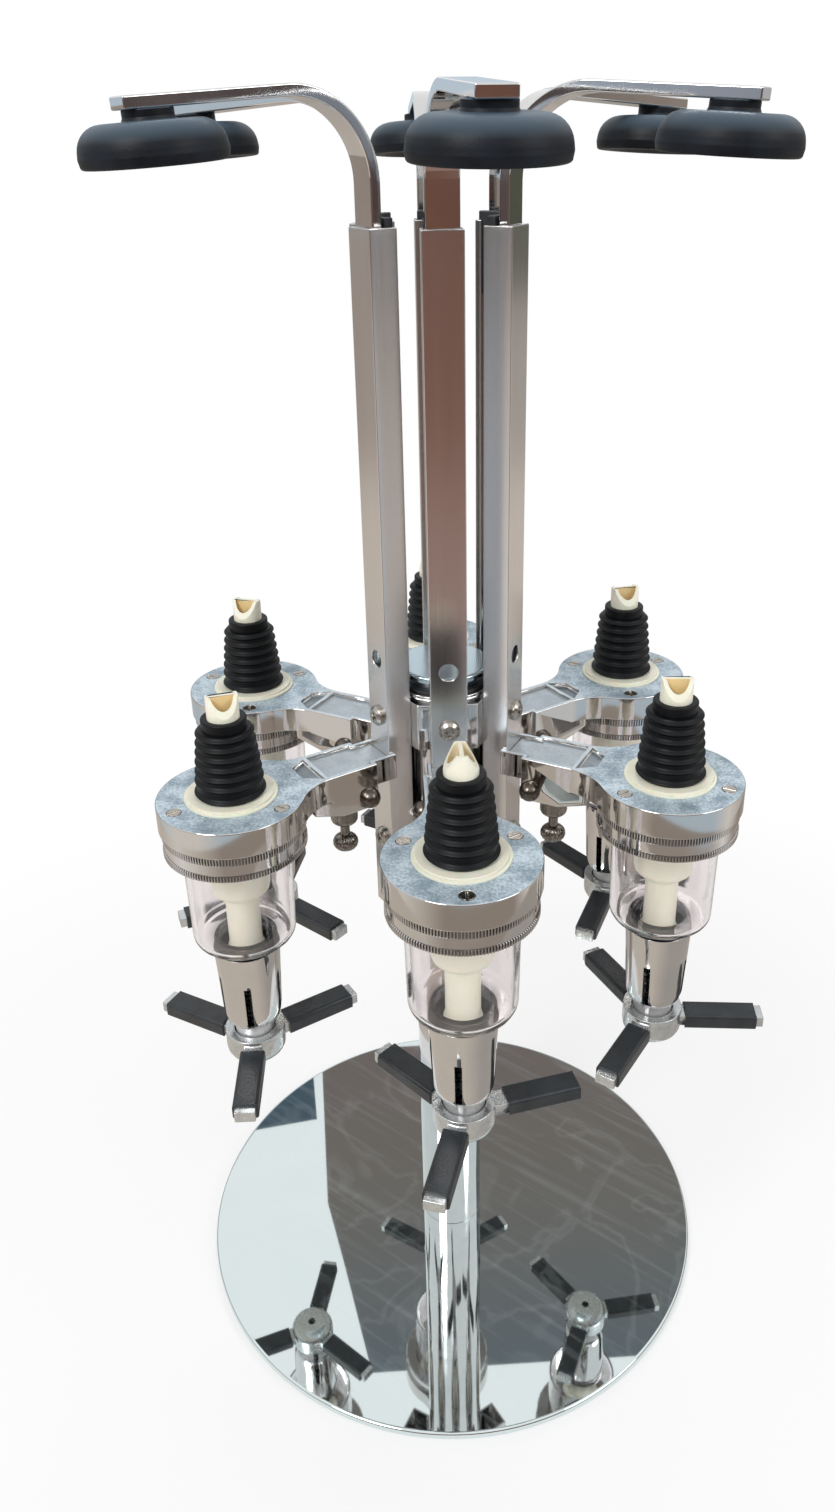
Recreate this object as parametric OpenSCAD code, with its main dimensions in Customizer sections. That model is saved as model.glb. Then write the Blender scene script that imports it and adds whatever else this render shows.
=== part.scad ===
// Rotary liquor dispenser: a chromed stand whose six-sided hub turns on a pole.
// Each of the six stations has an upright channel, a sliding bottle rod with a
// rubber cushion, a cast bracket and a spring-loaded measure worked by a star.
// Millimetres, +Z up, origin at the centre of the base's underside.

/* [Base and pole] */
// Diameter of the round base plate
base_d = 255; // [240:1:300]
// Thickness of the base plate
base_t = 3.6; // [3:0.2:8]
// Diameter of the thin pad under the base plate
pad_d = 244; // [200:1:250]
// Thickness of that pad
pad_t = 0.9; // [0.6:0.1:3]
// Chamfer round both edges of the base plate
base_edge = 0.6; // [0.2:0.1:1.2]
// Outer diameter of the pole
pole_d = 31; // [26:0.5:34]
// Wall of the pole's tube
pole_wall = 2; // [1:0.5:4]
// Height of the solid plug welded in the pole's foot
foot_plug_h = 25; // [15:1:60]
// Diameter of the bolt that holds the pole to the base
foot_bolt_d = 8; // [5:0.5:12]
// Diameter of that bolt's head, sunk in the base
foot_bolt_head_d = 14; // [13:0.5:18]
// Height of that bolt's head
foot_bolt_head_h = 1.8; // [1.2:0.1:2.2]
// How far that bolt reaches into the plug
foot_bolt_reach = 16; // [8:1:20]

/* [Carousel] */
// Distance from the pole's axis to each measure's axis
station_r = 102.4; // [100:0.2:125]
// Height of the brackets' top face above the bench
deck_z = 296.5; // [270:0.5:360]

/* [Hub] */
// Distance across the hub's flats
hub_flats = 44; // [41:0.5:47]
// Height of the hub's top face above the brackets
hub_top_rise = 24.5; // [22:0.5:40]
// Length of the hub along the pole
hub_len = 78; // [76:1:100]
// Diameter of the hub's round waist
hub_waist_d = 38; // [36:0.5:40]
// Height of the hub's upper six-sided collar
hub_upper_h = 21; // [16:0.5:24]
// Height of the hub's lower six-sided collar
hub_lower_h = 19; // [16:0.5:24]
// Diameter of the hub's round top flange
hub_flange_d = 43; // [38:0.5:44]
// Thickness of the hub's top flange
hub_flange_t = 3; // [2:0.5:4]
// Thickness of the plate that closes the hub's top
hub_plate_t = 4; // [3:0.5:6]
// Running clearance between hub and pole, on the radius
run_gap = 0.08; // [0.03:0.01:0.1]
// Space between faces that turn past each other
face_gap = 0.2; // [0.1:0.05:0.4]
// Diameter of the journal on the pole's top
journal_d = 16; // [12:0.5:20]
// Height of the shoulder below the journal
shoulder_h = 6; // [4:0.5:10]
// Length of the journal's plug inside the pole
journal_plug_h = 18; // [12:1:30]
// Thickness of the bearing washers
washer_t = 1.2; // [0.8:0.1:2]
// Diameter of the washer under the cap
cap_washer_d = 39; // [34:0.5:42]
// Diameter of the cap
cap_d = 40; // [36:0.5:44]
// Thickness of the cap's disc
cap_t = 3; // [2:0.5:5]
// Slope round the cap's upper edge
cap_edge = 1; // [0.4:0.1:1.6]
// Diameter of the cap's neck
cap_neck_d = 33; // [26:0.5:35]
// Height of the cap's neck
cap_neck_h = 3.6; // [2:0.2:6]

/* [Channels] */
// Width of a channel
chan_w = 15.2; // [14.8:0.1:16]
// Depth of a channel
chan_depth = 11.4; // [11:0.1:13]
// Wall of a channel
chan_wall = 1; // [0.8:0.1:1.2]
// Width of the lips on a channel's open side
chan_lip = 2.6; // [1.5:0.1:4]
// Length of a channel
chan_len = 290; // [270:1:330]
// Height of a channel's top above the brackets
chan_rise = 208.3; // [190:0.1:240]
// Diameter of the spare hole in a channel's face
spare_hole_d = 7.2; // [4:0.2:8]
// Height of the spare hole above the brackets
spare_hole_rise = 41.5; // [34:0.5:50]
// Height of the upper channel screw above the brackets
upper_screw_rise = 15.5; // [12:0.5:17]
// Depth of the lower channel screw below the brackets
lower_screw_drop = 44.5; // [40:0.5:46]
// Thread diameter of a channel screw
chan_screw_d = 5; // [4:0.5:6]
// Diameter of a channel screw's pan head
chan_head_d = 8.7; // [7:0.1:10]
// Height of a channel screw's pan head
chan_head_h = 2.6; // [1.6:0.1:3.4]
// Diameter of that head's flat top
chan_head_top_d = 5.8; // [5:0.1:6.8]
// Length of the cross cut in that head
cross_len = 4.4; // [3:0.1:5]
// Width of that cross
cross_w = 1.1; // [0.8:0.1:1.6]

/* [Bottle rods] */
// Width of a rod's flat bar
rod_w = 12.4; // [11:0.1:12.5]
// Thickness of a rod's flat bar
rod_t = 4; // [3:0.1:4.2]
// Space in front of and behind a rod in its channel
rod_gap = 1.1; // [1:0.05:1.2]
// Length of a rod inside its channel
rod_tail = 152; // [120:1:156]
// Straight stretch of a rod above the channel, before its bend
rod_rise = 14.3; // [13:0.1:22]
// Radius inside a rod's bend
rod_bend_r = 27; // [20:0.5:36]
// How far a rod's arm drops below the level, in degrees
rod_droop = 4; // [0:0.5:6]
// Distance from the pole's axis to a rod's tip
rod_reach = 115.9; // [110:0.1:135]
// Turn of the front rod in its channel, in degrees
front_turn = 6.8; // [0:0.2:7]
// Height of the guide behind each rod
guide_h = 30; // [20:1:45]
// How far a guide stands above its channel
guide_proud = 3.2; // [1:0.2:6]
// Diameter of a bottle cushion
cushion_d = 47.5; // [40:0.5:56]
// Height of a bottle cushion
cushion_h = 12.5; // [11:0.5:18]
// Radius of a cushion's shoulder
cushion_shoulder = 10; // [6:0.5:10.5]
// Distance from the pole's axis to a cushion's centre
cushion_r = 106.4; // [100:0.2:108]
// Diameter of the boss between cushion and rod
cushion_boss_d = 16.3; // [12:0.1:20]
// Height of that boss
cushion_boss_h = 3.4; // [2:0.1:6]

/* [Brackets] */
// Outer diameter of a bracket's ring
ring_d = 60; // [58:0.5:66]
// Height of a bracket's ring and arm
ring_h = 11.6; // [10:0.2:14]
// Bore of a bracket's ring
ring_bore = 33; // [30:0.5:35]
// Width of a bracket's arm
arm_w = 23.6; // [21:0.2:26]
// Width of the tongue beside the channel
tongue_w = 19; // [18:0.2:20.5]
// How far the tongue reaches past the channel's face, along its sides
tongue_wrap = 2.6; // [2:0.2:8]
// Space between the channel's face and the deep block
tongue_len = 8; // [6:0.2:10]
// Radius of the fillet between arm and ring
arm_fillet = 22; // [14:0.5:23]
// Depth of the block under the arm, from the top face
block_depth = 20; // [18.5:0.5:24]
// Length of the block's level underside
block_flat = 17; // [15:0.5:20]
// Space between the block and the lock ring
block_gap = 1.6; // [1:0.1:3]
// Width of the raised rims along the arm
rim_w = 2.2; // [1.4:0.1:3]
// Depth of the arm's panel
panel_depth = 1.6; // [0.8:0.1:2.2]
// Length of the arm's panel
panel_len = 20; // [12:0.5:22]
// Width of the rib across the arm
rib_w = 2; // [1:0.1:3]
// Length of the pocket beside the ring
pocket_len = 7; // [4:0.5:8]
// Depth of that pocket
pocket_depth = 2.6; // [1:0.1:4]
// Width of the slit that lets the bracket grip its channel
slit_w = 1.6; // [1:0.1:2.4]
// Thickness left above the slit
slit_roof = 3.2; // [2.4:0.1:4.5]
// Distance of the clamp bolt from the channel's face
clamp_out = 12.4; // [11.8:0.1:13]
// Depth of the clamp bolt below the bracket's top
clamp_drop = 15; // [14:0.5:15.5]
// Thread diameter of the clamp bolt
clamp_d = 4; // [3:0.5:5]
// Diameter of the clamp bolt's domed ends
clamp_head_d = 9; // [6:0.2:9.6]
// Distance of the thumbscrew from the channel's face
thumb_out = 19; // [18.4:0.1:21]
// Shank diameter of the thumbscrew
thumb_d = 5; // [3:0.5:6]
// How far the thumbscrew reaches into the block
thumb_reach = 4.5; // [3:0.5:5]
// Diameter of the thumbscrew's collar
thumb_collar_d = 11.8; // [10:0.2:13]
// Height of that collar
thumb_collar_h = 10.7; // [8:0.1:14]
// Slope round the collar's lower edge
thumb_slope = 2.8; // [1:0.1:3]
// Diameter of the thumbscrew's waist
thumb_waist_d = 4.1; // [2.4:0.1:5]
// Length of that waist
thumb_waist_h = 5.5; // [3:0.1:8]
// Diameter of the thumbscrew's knurled knob
thumb_knob_d = 11.1; // [8.6:0.1:13]
// Height of that knob
thumb_knob_h = 8.4; // [6:0.1:8.6]

/* [Measures] */
// Outer diameter of the knurled lock ring
lock_d = 58.2; // [56:0.2:60]
// Height of the lock ring
lock_h = 11.4; // [10:0.2:14]
// Height of each knurled band
knurl_h = 3.2; // [1:0.1:4]
// Depth of the plain stretch between the knurled bands
knurl_depth = 0.5; // [0.2:0.1:1]
// Thickness of the lip that carries the chamber
lock_lip = 3; // [2:0.2:5]
// Outer diameter of the clear chamber at its top
chamber_d = 44.4; // [42:0.2:46]
// How much narrower the chamber is at its bottom
chamber_taper = 1.4; // [0:0.1:3]
// Wall of the chamber
chamber_wall = 1.8; // [1.2:0.1:2.4]
// Depth of the chamber below the bracket
chamber_depth = 56; // [52:0.5:66]
// Radius of the chamber's bottom edge
chamber_round = 4; // [2:0.5:6]
// Diameter of the chamber's flange
chamber_flange_d = 52; // [51.8:0.1:53]
// Thickness of the chamber's flange
chamber_flange_t = 3.5; // [2:0.1:5]
// Outer diameter of the neck below the chamber
neck_d = 25.2; // [24.6:0.1:25.8]
// Length of the neck below the chamber
neck_len = 13; // [11:0.5:16]
// Wall of the neck
neck_wall = 1.6; // [1.2:0.1:2]
// Radius of the circle of ring screws
ring_screw_r = 24.2; // [23.8:0.1:24.4]
// Thread diameter of a ring screw
ring_screw_d = 2.6; // [2:0.1:2.8]
// Diameter of a ring screw's head
ring_head_d = 5.6; // [4:0.2:6.4]
// Height of a ring screw's head
ring_head_h = 1.5; // [1:0.1:2]
// Diameter of the cream flange on the bracket
flange_d = 37.2; // [36:0.2:40]
// Height of the cream flange
flange_h = 2; // [1.6:0.1:5]
// Step round the cream flange's top
flange_step = 1.2; // [0.6:0.1:1.8]
// Diameter of the funnel inside the chamber
funnel_d = 24.8; // [24:0.2:30]
// Depth of the funnel's wide part below the bracket
funnel_drop = 29.9; // [26:0.1:33]
// Radius of the funnel's lower edge
funnel_round = 4; // [2:0.2:5]
// Height of the cone between that edge and the tube
funnel_cone = 1.2; // [0.6:0.1:4]
// Outer diameter of the tube below the funnel
tube_d = 14; // [13.6:0.1:15]
// Diameter of the lip at the tube's bottom
tube_lip_d = 15.4; // [15.2:0.1:17]
// Space between the tube's bottom and the valve seat
tube_space = 3.4; // [3.2:0.1:6]
// Bore of the pouring tube
tube_bore = 9.6; // [8:0.2:10]
// Outer diameter of the pouring tube in the stopper
spout_d = 12.8; // [12:0.1:13.6]
// Height of the ridged tip above the stopper
tip_h = 9.2; // [7:0.2:15]
// Width of the tip's flat ridge
ridge_w = 4; // [2:0.2:6]
// Height of the tip's wall at the foot of its slopes
slope_foot = 1.6; // [1:0.1:5]
// Thickness of the web that parts the tip's bore in two
web_t = 1.6; // [1:0.1:2]
// Length of that web
web_len = 16; // [8:0.5:20]
// Diameter of the stopper at its foot
stopper_d = 28.6; // [24:0.2:32]
// Diameter of the stopper at its top rib
stopper_top_d = 22.8; // [21.4:0.2:26]
// Diameter of the stopper's plain collar
stopper_collar_d = 18; // [15.4:0.2:19]
// Height of the stopper's plain collar
stopper_collar_h = 4.2; // [2:0.2:6]
// Height of the stopper
stopper_h = 32.8; // [26:0.2:40]
// Number of ribs round the stopper
stopper_ribs = 7; // [5:1:9]
// Radius of a rib's edge
stopper_rib_r = 1.5; // [1:0.1:1.9]

/* [Valves] */
// Diameter of the nozzle's rim
nozzle_d = 28.2; // [27.6:0.1:30]
// Diameter of the nozzle where its lower edge begins to round
nozzle_waist_d = 25.2; // [24.4:0.1:26]
// Height of that rounding
nozzle_round_h = 8; // [5:0.5:9]
// Diameter of the nozzle at its foot
nozzle_foot_d = 18.4; // [18:0.1:18.8]
// Length of the nozzle
nozzle_len = 39.5; // [34:0.5:42]
// How far the nozzle goes up the chamber's neck
socket_len = 8; // [5:0.5:11]
// Diameter of the spigot below the nozzle
spigot_d = 17; // [16.6:0.1:17.4]
// Length of the spigot
spigot_len = 7; // [7:0.5:9]
// Bore of the nozzle round the spring
nozzle_bore = 14.8; // [14.4:0.1:15]
// Thickness of the guide that the stem slides in
stem_guide_h = 11; // [6:0.5:14]
// Height of the valve seat
seat_h = 4; // [2:0.2:6]
// Width of the slots across the valve seat
seat_slot = 2.2; // [1.4:0.1:3]
// Width of the nozzle's slits
nozzle_slit_w = 2.8; // [1.4:0.1:3]
// Height of the nozzle's slits
nozzle_slit_h = 24; // [10:0.5:24]
// Diameter of the plunger's stem
stem_d = 8; // [6.6:0.1:8.4]
// Bore of the stem
stem_bore = 4.4; // [2:0.1:5]
// Diameter of the collar that closes the valve
collar_d = 11; // [10:0.1:11.4]
// Height of that collar
collar_h = 2.6; // [1.6:0.1:3]
// How far the star can be pushed up
plunge = 4.6; // [3:0.2:4.6]
// Outer diameter of the star's hub
star_d = 26; // [24:0.2:30]
// Bore of the star's hub
star_bore = 18.2; // [17.8:0.1:19]
// Height of the straight side of the star's hub
star_h = 8.4; // [8:0.2:10]
// Depth of the bore in the star's hub
star_bore_h = 9.6; // [9.4:0.1:10]
// Depth of the rounded nose under that side
star_nose_h = 6; // [5:0.5:7]
// Diameter of that nose at its bottom
star_nose_d = 12; // [10:0.5:18]
// How far the spigot dips into the star's hub at rest
star_dip = 2; // [1:0.5:2]
// Distance from a measure's axis to a prong's tip
prong_reach = 49; // [48.6:0.2:56]
// Depth of the prongs' middle below the top of the star's hub
prong_drop = 6; // [5:0.2:6.4]
// Width of a prong's flat bar
prong_w = 8.6; // [7:0.1:9]
// Height of a prong's flat bar
prong_h = 5; // [4:0.1:5.4]
// Width of a prong's rubber sleeve
grip_w = 10.8; // [10.2:0.1:12]
// Height of a prong's rubber sleeve
grip_h = 7.4; // [6.8:0.1:9]
// Length of a prong's rubber sleeve
grip_len = 31.4; // [20:0.2:31.6]
// Bare length of a prong outside its sleeve
prong_bare = 3.2; // [1:0.1:3.4]
// Radius of a sleeve's corners
grip_round = 1.6; // [0.6:0.1:2]
// Wire diameter of a valve spring
spring_wire = 1; // [0.6:0.1:1.2]
// Mean diameter of a valve spring
spring_d = 11.8; // [11.2:0.1:12.2]
// Number of curls in a valve spring
spring_curls = 8; // [6:1:10]

/* [Hidden] */
stations = 6;
// Shared fits: clearance on a radius, running room, and room for a slide fit
seat_fit = 0.05;
sink = 0.3;
slide_room = 0.3;
over = 1;
$fn = 64;

// Turn of each star, of each nozzle's slits and of each tip's notch, in degrees, as they happen to stand
star_turns = [12.5, -6, 5, 27, 78, 29.5];
nozzle_turns = [77, 0, 20, 45, 40, 61];
// The sleeve that has slid out to its prong's tip: its star, and its prong's turn from the star's first
slid_grip = [1, 0];
tip_turns = [0, -95, -80, 20, -110, -75];

// Levels along the pole
base_top_z = pad_t + base_t;
hub_top_z = deck_z + hub_top_rise;
hub_low_z = hub_top_z - hub_len;
shoulder_z = hub_top_z - hub_plate_t - face_gap - washer_t;
pole_top_z = shoulder_z - shoulder_h;
cap_low_z = hub_top_z + face_gap + washer_t;
cap_top_z = cap_low_z + cap_neck_h + cap_t;
journal_top_z = cap_top_z - cap_t / 2;

// Channels and what slides in them
chan_face_r = hub_flats / 2 + chan_depth;
chan_top_z = deck_z + chan_rise;
chan_low_z = chan_top_z - chan_len;
chan_room = chan_w / 2 - chan_wall;
rod_face_r = chan_face_r - chan_wall - rod_gap;
rod_back_r = rod_face_r - rod_t;
guide_t = rod_back_r - rod_gap - hub_flats / 2 - chan_wall;
bend_x = rod_face_r + rod_bend_r;
bend_z = chan_top_z + rod_rise;

// Brackets
ring_low_z = deck_z - ring_h;
tongue_x = chan_face_r - tongue_wrap;
block_x = chan_face_r + tongue_len;
block_low_z = deck_z - block_depth;
fillet_dy = arm_w / 2 + arm_fillet;
fillet_x = station_r - sqrt(pow(ring_d / 2 + arm_fillet, 2) - pow(fillet_dy, 2));
block_end_r = lock_d / 2 + block_gap;
panel_x = block_x + rim_w;

// Measures
lock_low_z = ring_low_z - lock_h;
chamber_low_z = ring_low_z - chamber_depth;
neck_low_z = chamber_low_z - neck_len;
nozzle_top_z = neck_low_z + socket_len;
nozzle_foot_z = nozzle_top_z - nozzle_len;
spigot_low_z = nozzle_foot_z - spigot_len;
seat_top_z = neck_low_z + seat_h;
guide_low_z = seat_top_z - stem_guide_h;
tube_low_z = seat_top_z + tube_space;
flange_top_z = deck_z + flange_h;
stopper_top_z = flange_top_z + stopper_h;
star_top_z = spigot_low_z + star_dip;
star_low_z = star_top_z - star_h;
star_floor_z = star_top_z - star_bore_h;
prong_z = star_top_z - prong_drop;
spring_low_z = star_floor_z + sink + spring_wire / 2;
spring_top_z = guide_low_z - sink - spring_wire / 2;

// Station 1 faces the front, and the others follow round, seen from above
module at_station(i) {
  rotate([0, 0, 60 * (i - 1) - 90])
    children();
}

module at_measure(i) {
  at_station(i)
    translate([station_r, 0, 0])
      children();
}

module for_stations() {
  for ($i = [1 : stations])
    at_station($i)
      children();
}

module for_measures() {
  for ($i = [1 : stations])
    at_measure($i)
      children();
}

module ring(d, bore, h) {
  difference() {
    cylinder(d = d, h = h);
    translate([0, 0, -over])
      cylinder(d = bore, h = h + 2 * over);
  }
}

module turned(points) {
  rotate_extrude()
    polygon(points);
}

// Stand

module base_pad() {
  color("#202020")
    cylinder(d = pad_d, h = pad_t);
}

module base_plate() {
  r = base_d / 2;
  color("gainsboro")
    translate([0, 0, pad_t])
      difference() {
        turned([[0, 0], [r - base_edge, 0], [r, base_edge], [r, base_t - base_edge],
                [r - base_edge, base_t], [0, base_t]]);
        translate([0, 0, -over])
          cylinder(d = foot_bolt_d + 2 * seat_fit, h = base_t + 2 * over);
        translate([0, 0, -over])
          cylinder(d = foot_bolt_head_d + 2 * sink, h = foot_bolt_head_h + sink + over);
      }
}

module pole() {
  color("gainsboro")
    difference() {
      translate([0, 0, base_top_z])
        cylinder(d = pole_d, h = pole_top_z - base_top_z);
      translate([0, 0, base_top_z + foot_plug_h])
        cylinder(d = pole_d - 2 * pole_wall, h = pole_top_z);
      cylinder(d = foot_bolt_d + 2 * seat_fit, h = base_top_z + foot_bolt_reach + sink);
    }
}

module pole_bolt() {
  head_z = pad_t + sink;
  color("dimgray") {
    translate([0, 0, head_z])
      cylinder(d = foot_bolt_head_d, h = foot_bolt_head_h);
    translate([0, 0, head_z])
      cylinder(d = foot_bolt_d, h = base_top_z + foot_bolt_reach - head_z);
  }
}

module pole_journal() {
  color("silver") {
    translate([0, 0, pole_top_z - journal_plug_h])
      cylinder(d = pole_d - 2 * pole_wall - 2 * seat_fit, h = journal_plug_h);
    translate([0, 0, pole_top_z])
      cylinder(d = pole_d, h = shoulder_h);
    translate([0, 0, shoulder_z])
      cylinder(d = journal_d, h = journal_top_z - shoulder_z);
  }
}

module thrust_washers() {
  color("#202020") {
    translate([0, 0, shoulder_z])
      ring(pole_d, journal_d + 2 * seat_fit, washer_t);
    translate([0, 0, cap_low_z - washer_t])
      ring(cap_washer_d, journal_d + 2 * seat_fit, washer_t);
  }
}

module hub_cap() {
  bore_h = journal_top_z - cap_low_z + sink;
  color("gainsboro")
    translate([0, 0, cap_low_z])
      difference() {
        union() {
          cylinder(d = cap_neck_d, h = cap_neck_h + cap_t / 2);
          translate([0, 0, cap_neck_h])
            cylinder(d = cap_d, h = cap_t - cap_edge);
          translate([0, 0, cap_neck_h + cap_t - cap_edge])
            cylinder(d1 = cap_d, d2 = cap_d - 2 * cap_edge, h = cap_edge);
        }
        translate([0, 0, -over])
          cylinder(d = journal_d + 2 * seat_fit, h = bore_h + over);
      }
}

// Carousel hub: two six-sided collars on a round sleeve, closed by a flanged plate

module screw_heights() {
  for (z = [deck_z + upper_screw_rise, deck_z - lower_screw_drop])
    translate([0, 0, z])
      rotate([0, 90, 0])
        children();
}

module hub_collar(h) {
  cylinder(d = hub_flats / cos(30), h = h, $fn = 6);
}

module hub() {
  bore_d = pole_d + 2 * run_gap;
  color("silver")
    difference() {
      union() {
        translate([0, 0, hub_low_z])
          cylinder(d = hub_waist_d, h = hub_len);
        translate([0, 0, hub_low_z])
          hub_collar(hub_lower_h);
        translate([0, 0, hub_top_z - hub_flange_t - hub_upper_h])
          hub_collar(hub_upper_h);
        translate([0, 0, hub_top_z - hub_flange_t])
          cylinder(d = hub_flange_d, h = hub_flange_t);
      }
      translate([0, 0, hub_low_z - over])
        cylinder(d = bore_d, h = hub_len - hub_plate_t + over);
      cylinder(d = journal_d + 2 * run_gap, h = hub_top_z + over);
      for_stations()
        screw_heights()
          translate([0, 0, bore_d / 2 + over])
            cylinder(d = chan_screw_d + 2 * seat_fit, h = hub_flats);
    }
}

// Upright channels: lipped sections screwed to the hub's flats, open towards the pole

module channel(i) {
  slot = chan_w - 2 * chan_wall - 2 * chan_lip;
  color("lightgray")
    at_station(i)
      difference() {
        translate([hub_flats / 2, 0, chan_low_z])
          linear_extrude(chan_len)
            difference() {
              translate([0, -chan_w / 2])
                square([chan_depth, chan_w]);
              translate([chan_wall, -chan_room])
                square([chan_depth - 2 * chan_wall, 2 * chan_room]);
              translate([-over, -slot / 2])
                square([chan_wall + 2 * over, slot]);
            }
        screw_heights()
          translate([0, 0, rod_back_r])
            cylinder(d = chan_screw_d + 2 * seat_fit, h = chan_depth);
        translate([rod_back_r, 0, deck_z + spare_hole_rise])
          rotate([0, 90, 0])
            cylinder(d = spare_hole_d, h = chan_depth);
      }
}

module channel_screws() {
  tip_r = pole_d / 2 + run_gap + over + sink;
  shank = chan_face_r - tip_r;
  color("silver")
    for_stations()
      screw_heights()
        translate([0, 0, tip_r])
          difference() {
            union() {
              cylinder(d = chan_screw_d, h = shank + chan_head_h / 2);
              translate([0, 0, shank])
                cylinder(d = chan_head_d, h = chan_head_h / 2);
              translate([0, 0, shank + chan_head_h / 2])
                cylinder(d1 = chan_head_d, d2 = chan_head_top_d, h = chan_head_h / 2);
            }
            for (turn = [0, 90])
              rotate([0, 0, turn])
                translate([0, 0, shank + chan_head_h])
                  cube([cross_len, cross_w, chan_head_h], center = true);
          }
}

// Bottle rods: flat bars that slide in the channels and bend outwards over the bottles

module bend_frame(i) {
  turn = i == 1 ? front_turn : 0;
  middle = (rod_face_r + rod_back_r) / 2;
  at_station(i)
    translate([middle, 0, 0])
      rotate([0, 0, turn])
        translate([-middle, 0, 0])
          children();
}

module arm_frame() {
  translate([bend_x, 0, bend_z])
    rotate([0, rod_droop, 0])
      children();
}

function along_arm(r) = (r - bend_x - rod_bend_r * sin(rod_droop)) / cos(rod_droop);

module rod_outline() {
  outer = rod_bend_r + rod_t;
  below = rod_rise + rod_tail;
  along = along_arm(rod_reach);
  difference() {
    union() {
      circle(r = outer);
      translate([-outer, -below])
        square([outer, below]);
      rotate(-rod_droop)
        square([along, outer]);
    }
    circle(r = rod_bend_r);
    translate([-rod_bend_r, -below - over])
      square([2 * outer, below + over]);
    rotate(-rod_droop)
      translate([0, -outer])
        square([along + over, outer + rod_bend_r]);
  }
}

module bottle_rod(i) {
  color("gainsboro")
    bend_frame(i)
      translate([bend_x, rod_w / 2, bend_z])
        rotate([90, 0, 0])
          linear_extrude(rod_w)
            rod_outline();
}

module bottle_cushion(i) {
  r = cushion_d / 2;
  s = cushion_shoulder;
  color("#26292c")
    bend_frame(i)
      arm_frame()
        translate([along_arm(cushion_r), 0, rod_bend_r - cushion_boss_h - cushion_h])
          rotate_extrude() {
            square([r - s, cushion_h]);
            square([r, cushion_h - s]);
            translate([r - s, cushion_h - s])
              intersection() {
                circle(r = s);
                square(s);
              }
            square([cushion_boss_d / 2, cushion_h + cushion_boss_h]);
          }
}

module rod_guides() {
  color("#202020")
    for_stations()
      translate([hub_flats / 2 + chan_wall, -chan_room + seat_fit, chan_top_z + guide_proud - guide_h])
        cube([guide_t, 2 * chan_room - 2 * seat_fit, guide_h]);
}

// Brackets: a ring for the measure, an arm with rimmed panels and a clamping block

module bracket_outline() {
  translate([station_r, 0])
    circle(d = ring_d);
  translate([tongue_x, -tongue_w / 2])
    square([station_r - tongue_x, tongue_w]);
  translate([block_x, -arm_w / 2])
    square([station_r - block_x, arm_w]);
  for (side = [-1, 1])
    difference() {
      polygon([[fillet_x, 0], [fillet_x, side * fillet_dy], [station_r, 0]]);
      translate([fillet_x, side * fillet_dy])
        circle(r = arm_fillet);
    }
}

module block_outline() {
  end_x = station_r - block_end_r;
  polygon([[block_x, deck_z - ring_h / 2], [block_x, block_low_z], [block_x + block_flat, block_low_z],
           [end_x, (block_low_z + ring_low_z) / 2], [end_x, deck_z - ring_h / 2]]);
}

module bracket(i) {
  panel_w = arm_w - 2 * rim_w;
  pocket_x = panel_x + panel_len + rib_w;
  color("silver")
    at_station(i)
      difference() {
        union() {
          translate([0, 0, ring_low_z])
            linear_extrude(ring_h)
              bracket_outline();
          translate([0, arm_w / 2, 0])
            rotate([90, 0, 0])
              linear_extrude(arm_w)
                block_outline();
        }
        translate([0, -chan_w / 2, 0])
          cube([chan_face_r, chan_w, deck_z + over]);
        translate([panel_x, -panel_w / 2, deck_z - panel_depth])
          cube([panel_len, panel_w, panel_depth + over]);
        translate([chan_face_r - over, -chan_w / 2, deck_z - panel_depth])
          cube([panel_x - chan_face_r + 2 * over, chan_w, panel_depth + over]);
        translate([0, 0, deck_z - pocket_depth])
          linear_extrude(pocket_depth + over)
            polygon([[pocket_x, -panel_w / 2], [pocket_x + pocket_len, -panel_w / 4],
                     [pocket_x + pocket_len, panel_w / 4], [pocket_x, panel_w / 2]]);
        translate([0, -slit_w / 2, 0])
          cube([chan_face_r + thumb_out - thumb_collar_d / 2, slit_w, deck_z - slit_roof]);
        translate([chan_face_r + clamp_out, 0, deck_z - clamp_drop])
          rotate([90, 0, 0])
            cylinder(d = clamp_d + 2 * seat_fit, h = 2 * arm_w, center = true);
        translate([chan_face_r + thumb_out, 0, block_low_z - over])
          cylinder(d = thumb_d + 2 * seat_fit, h = thumb_reach + sink + over);
        translate([station_r, 0, 0]) {
          cylinder(d = ring_bore, h = deck_z + over);
          ring_screw_places() {
            cylinder(d = ring_screw_d + 2 * seat_fit, h = deck_z + over);
            translate([0, 0, deck_z - ring_head_h - seat_fit])
              cylinder(d = ring_head_d + 2 * seat_fit, h = ring_head_h + over);
          }
        }
      }
}

module clamp_bolts() {
  color("silver")
    for_stations()
      translate([chan_face_r + clamp_out, 0, deck_z - clamp_drop])
        rotate([90, 0, 0]) {
          cylinder(d = clamp_d, h = arm_w, center = true);
          for (side = [0, 180])
            rotate([side, 0, 0])
              translate([0, 0, arm_w / 2])
                intersection() {
                  sphere(d = clamp_head_d);
                  cylinder(d = clamp_head_d + over, h = clamp_head_d);
                }
        }
}

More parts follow.
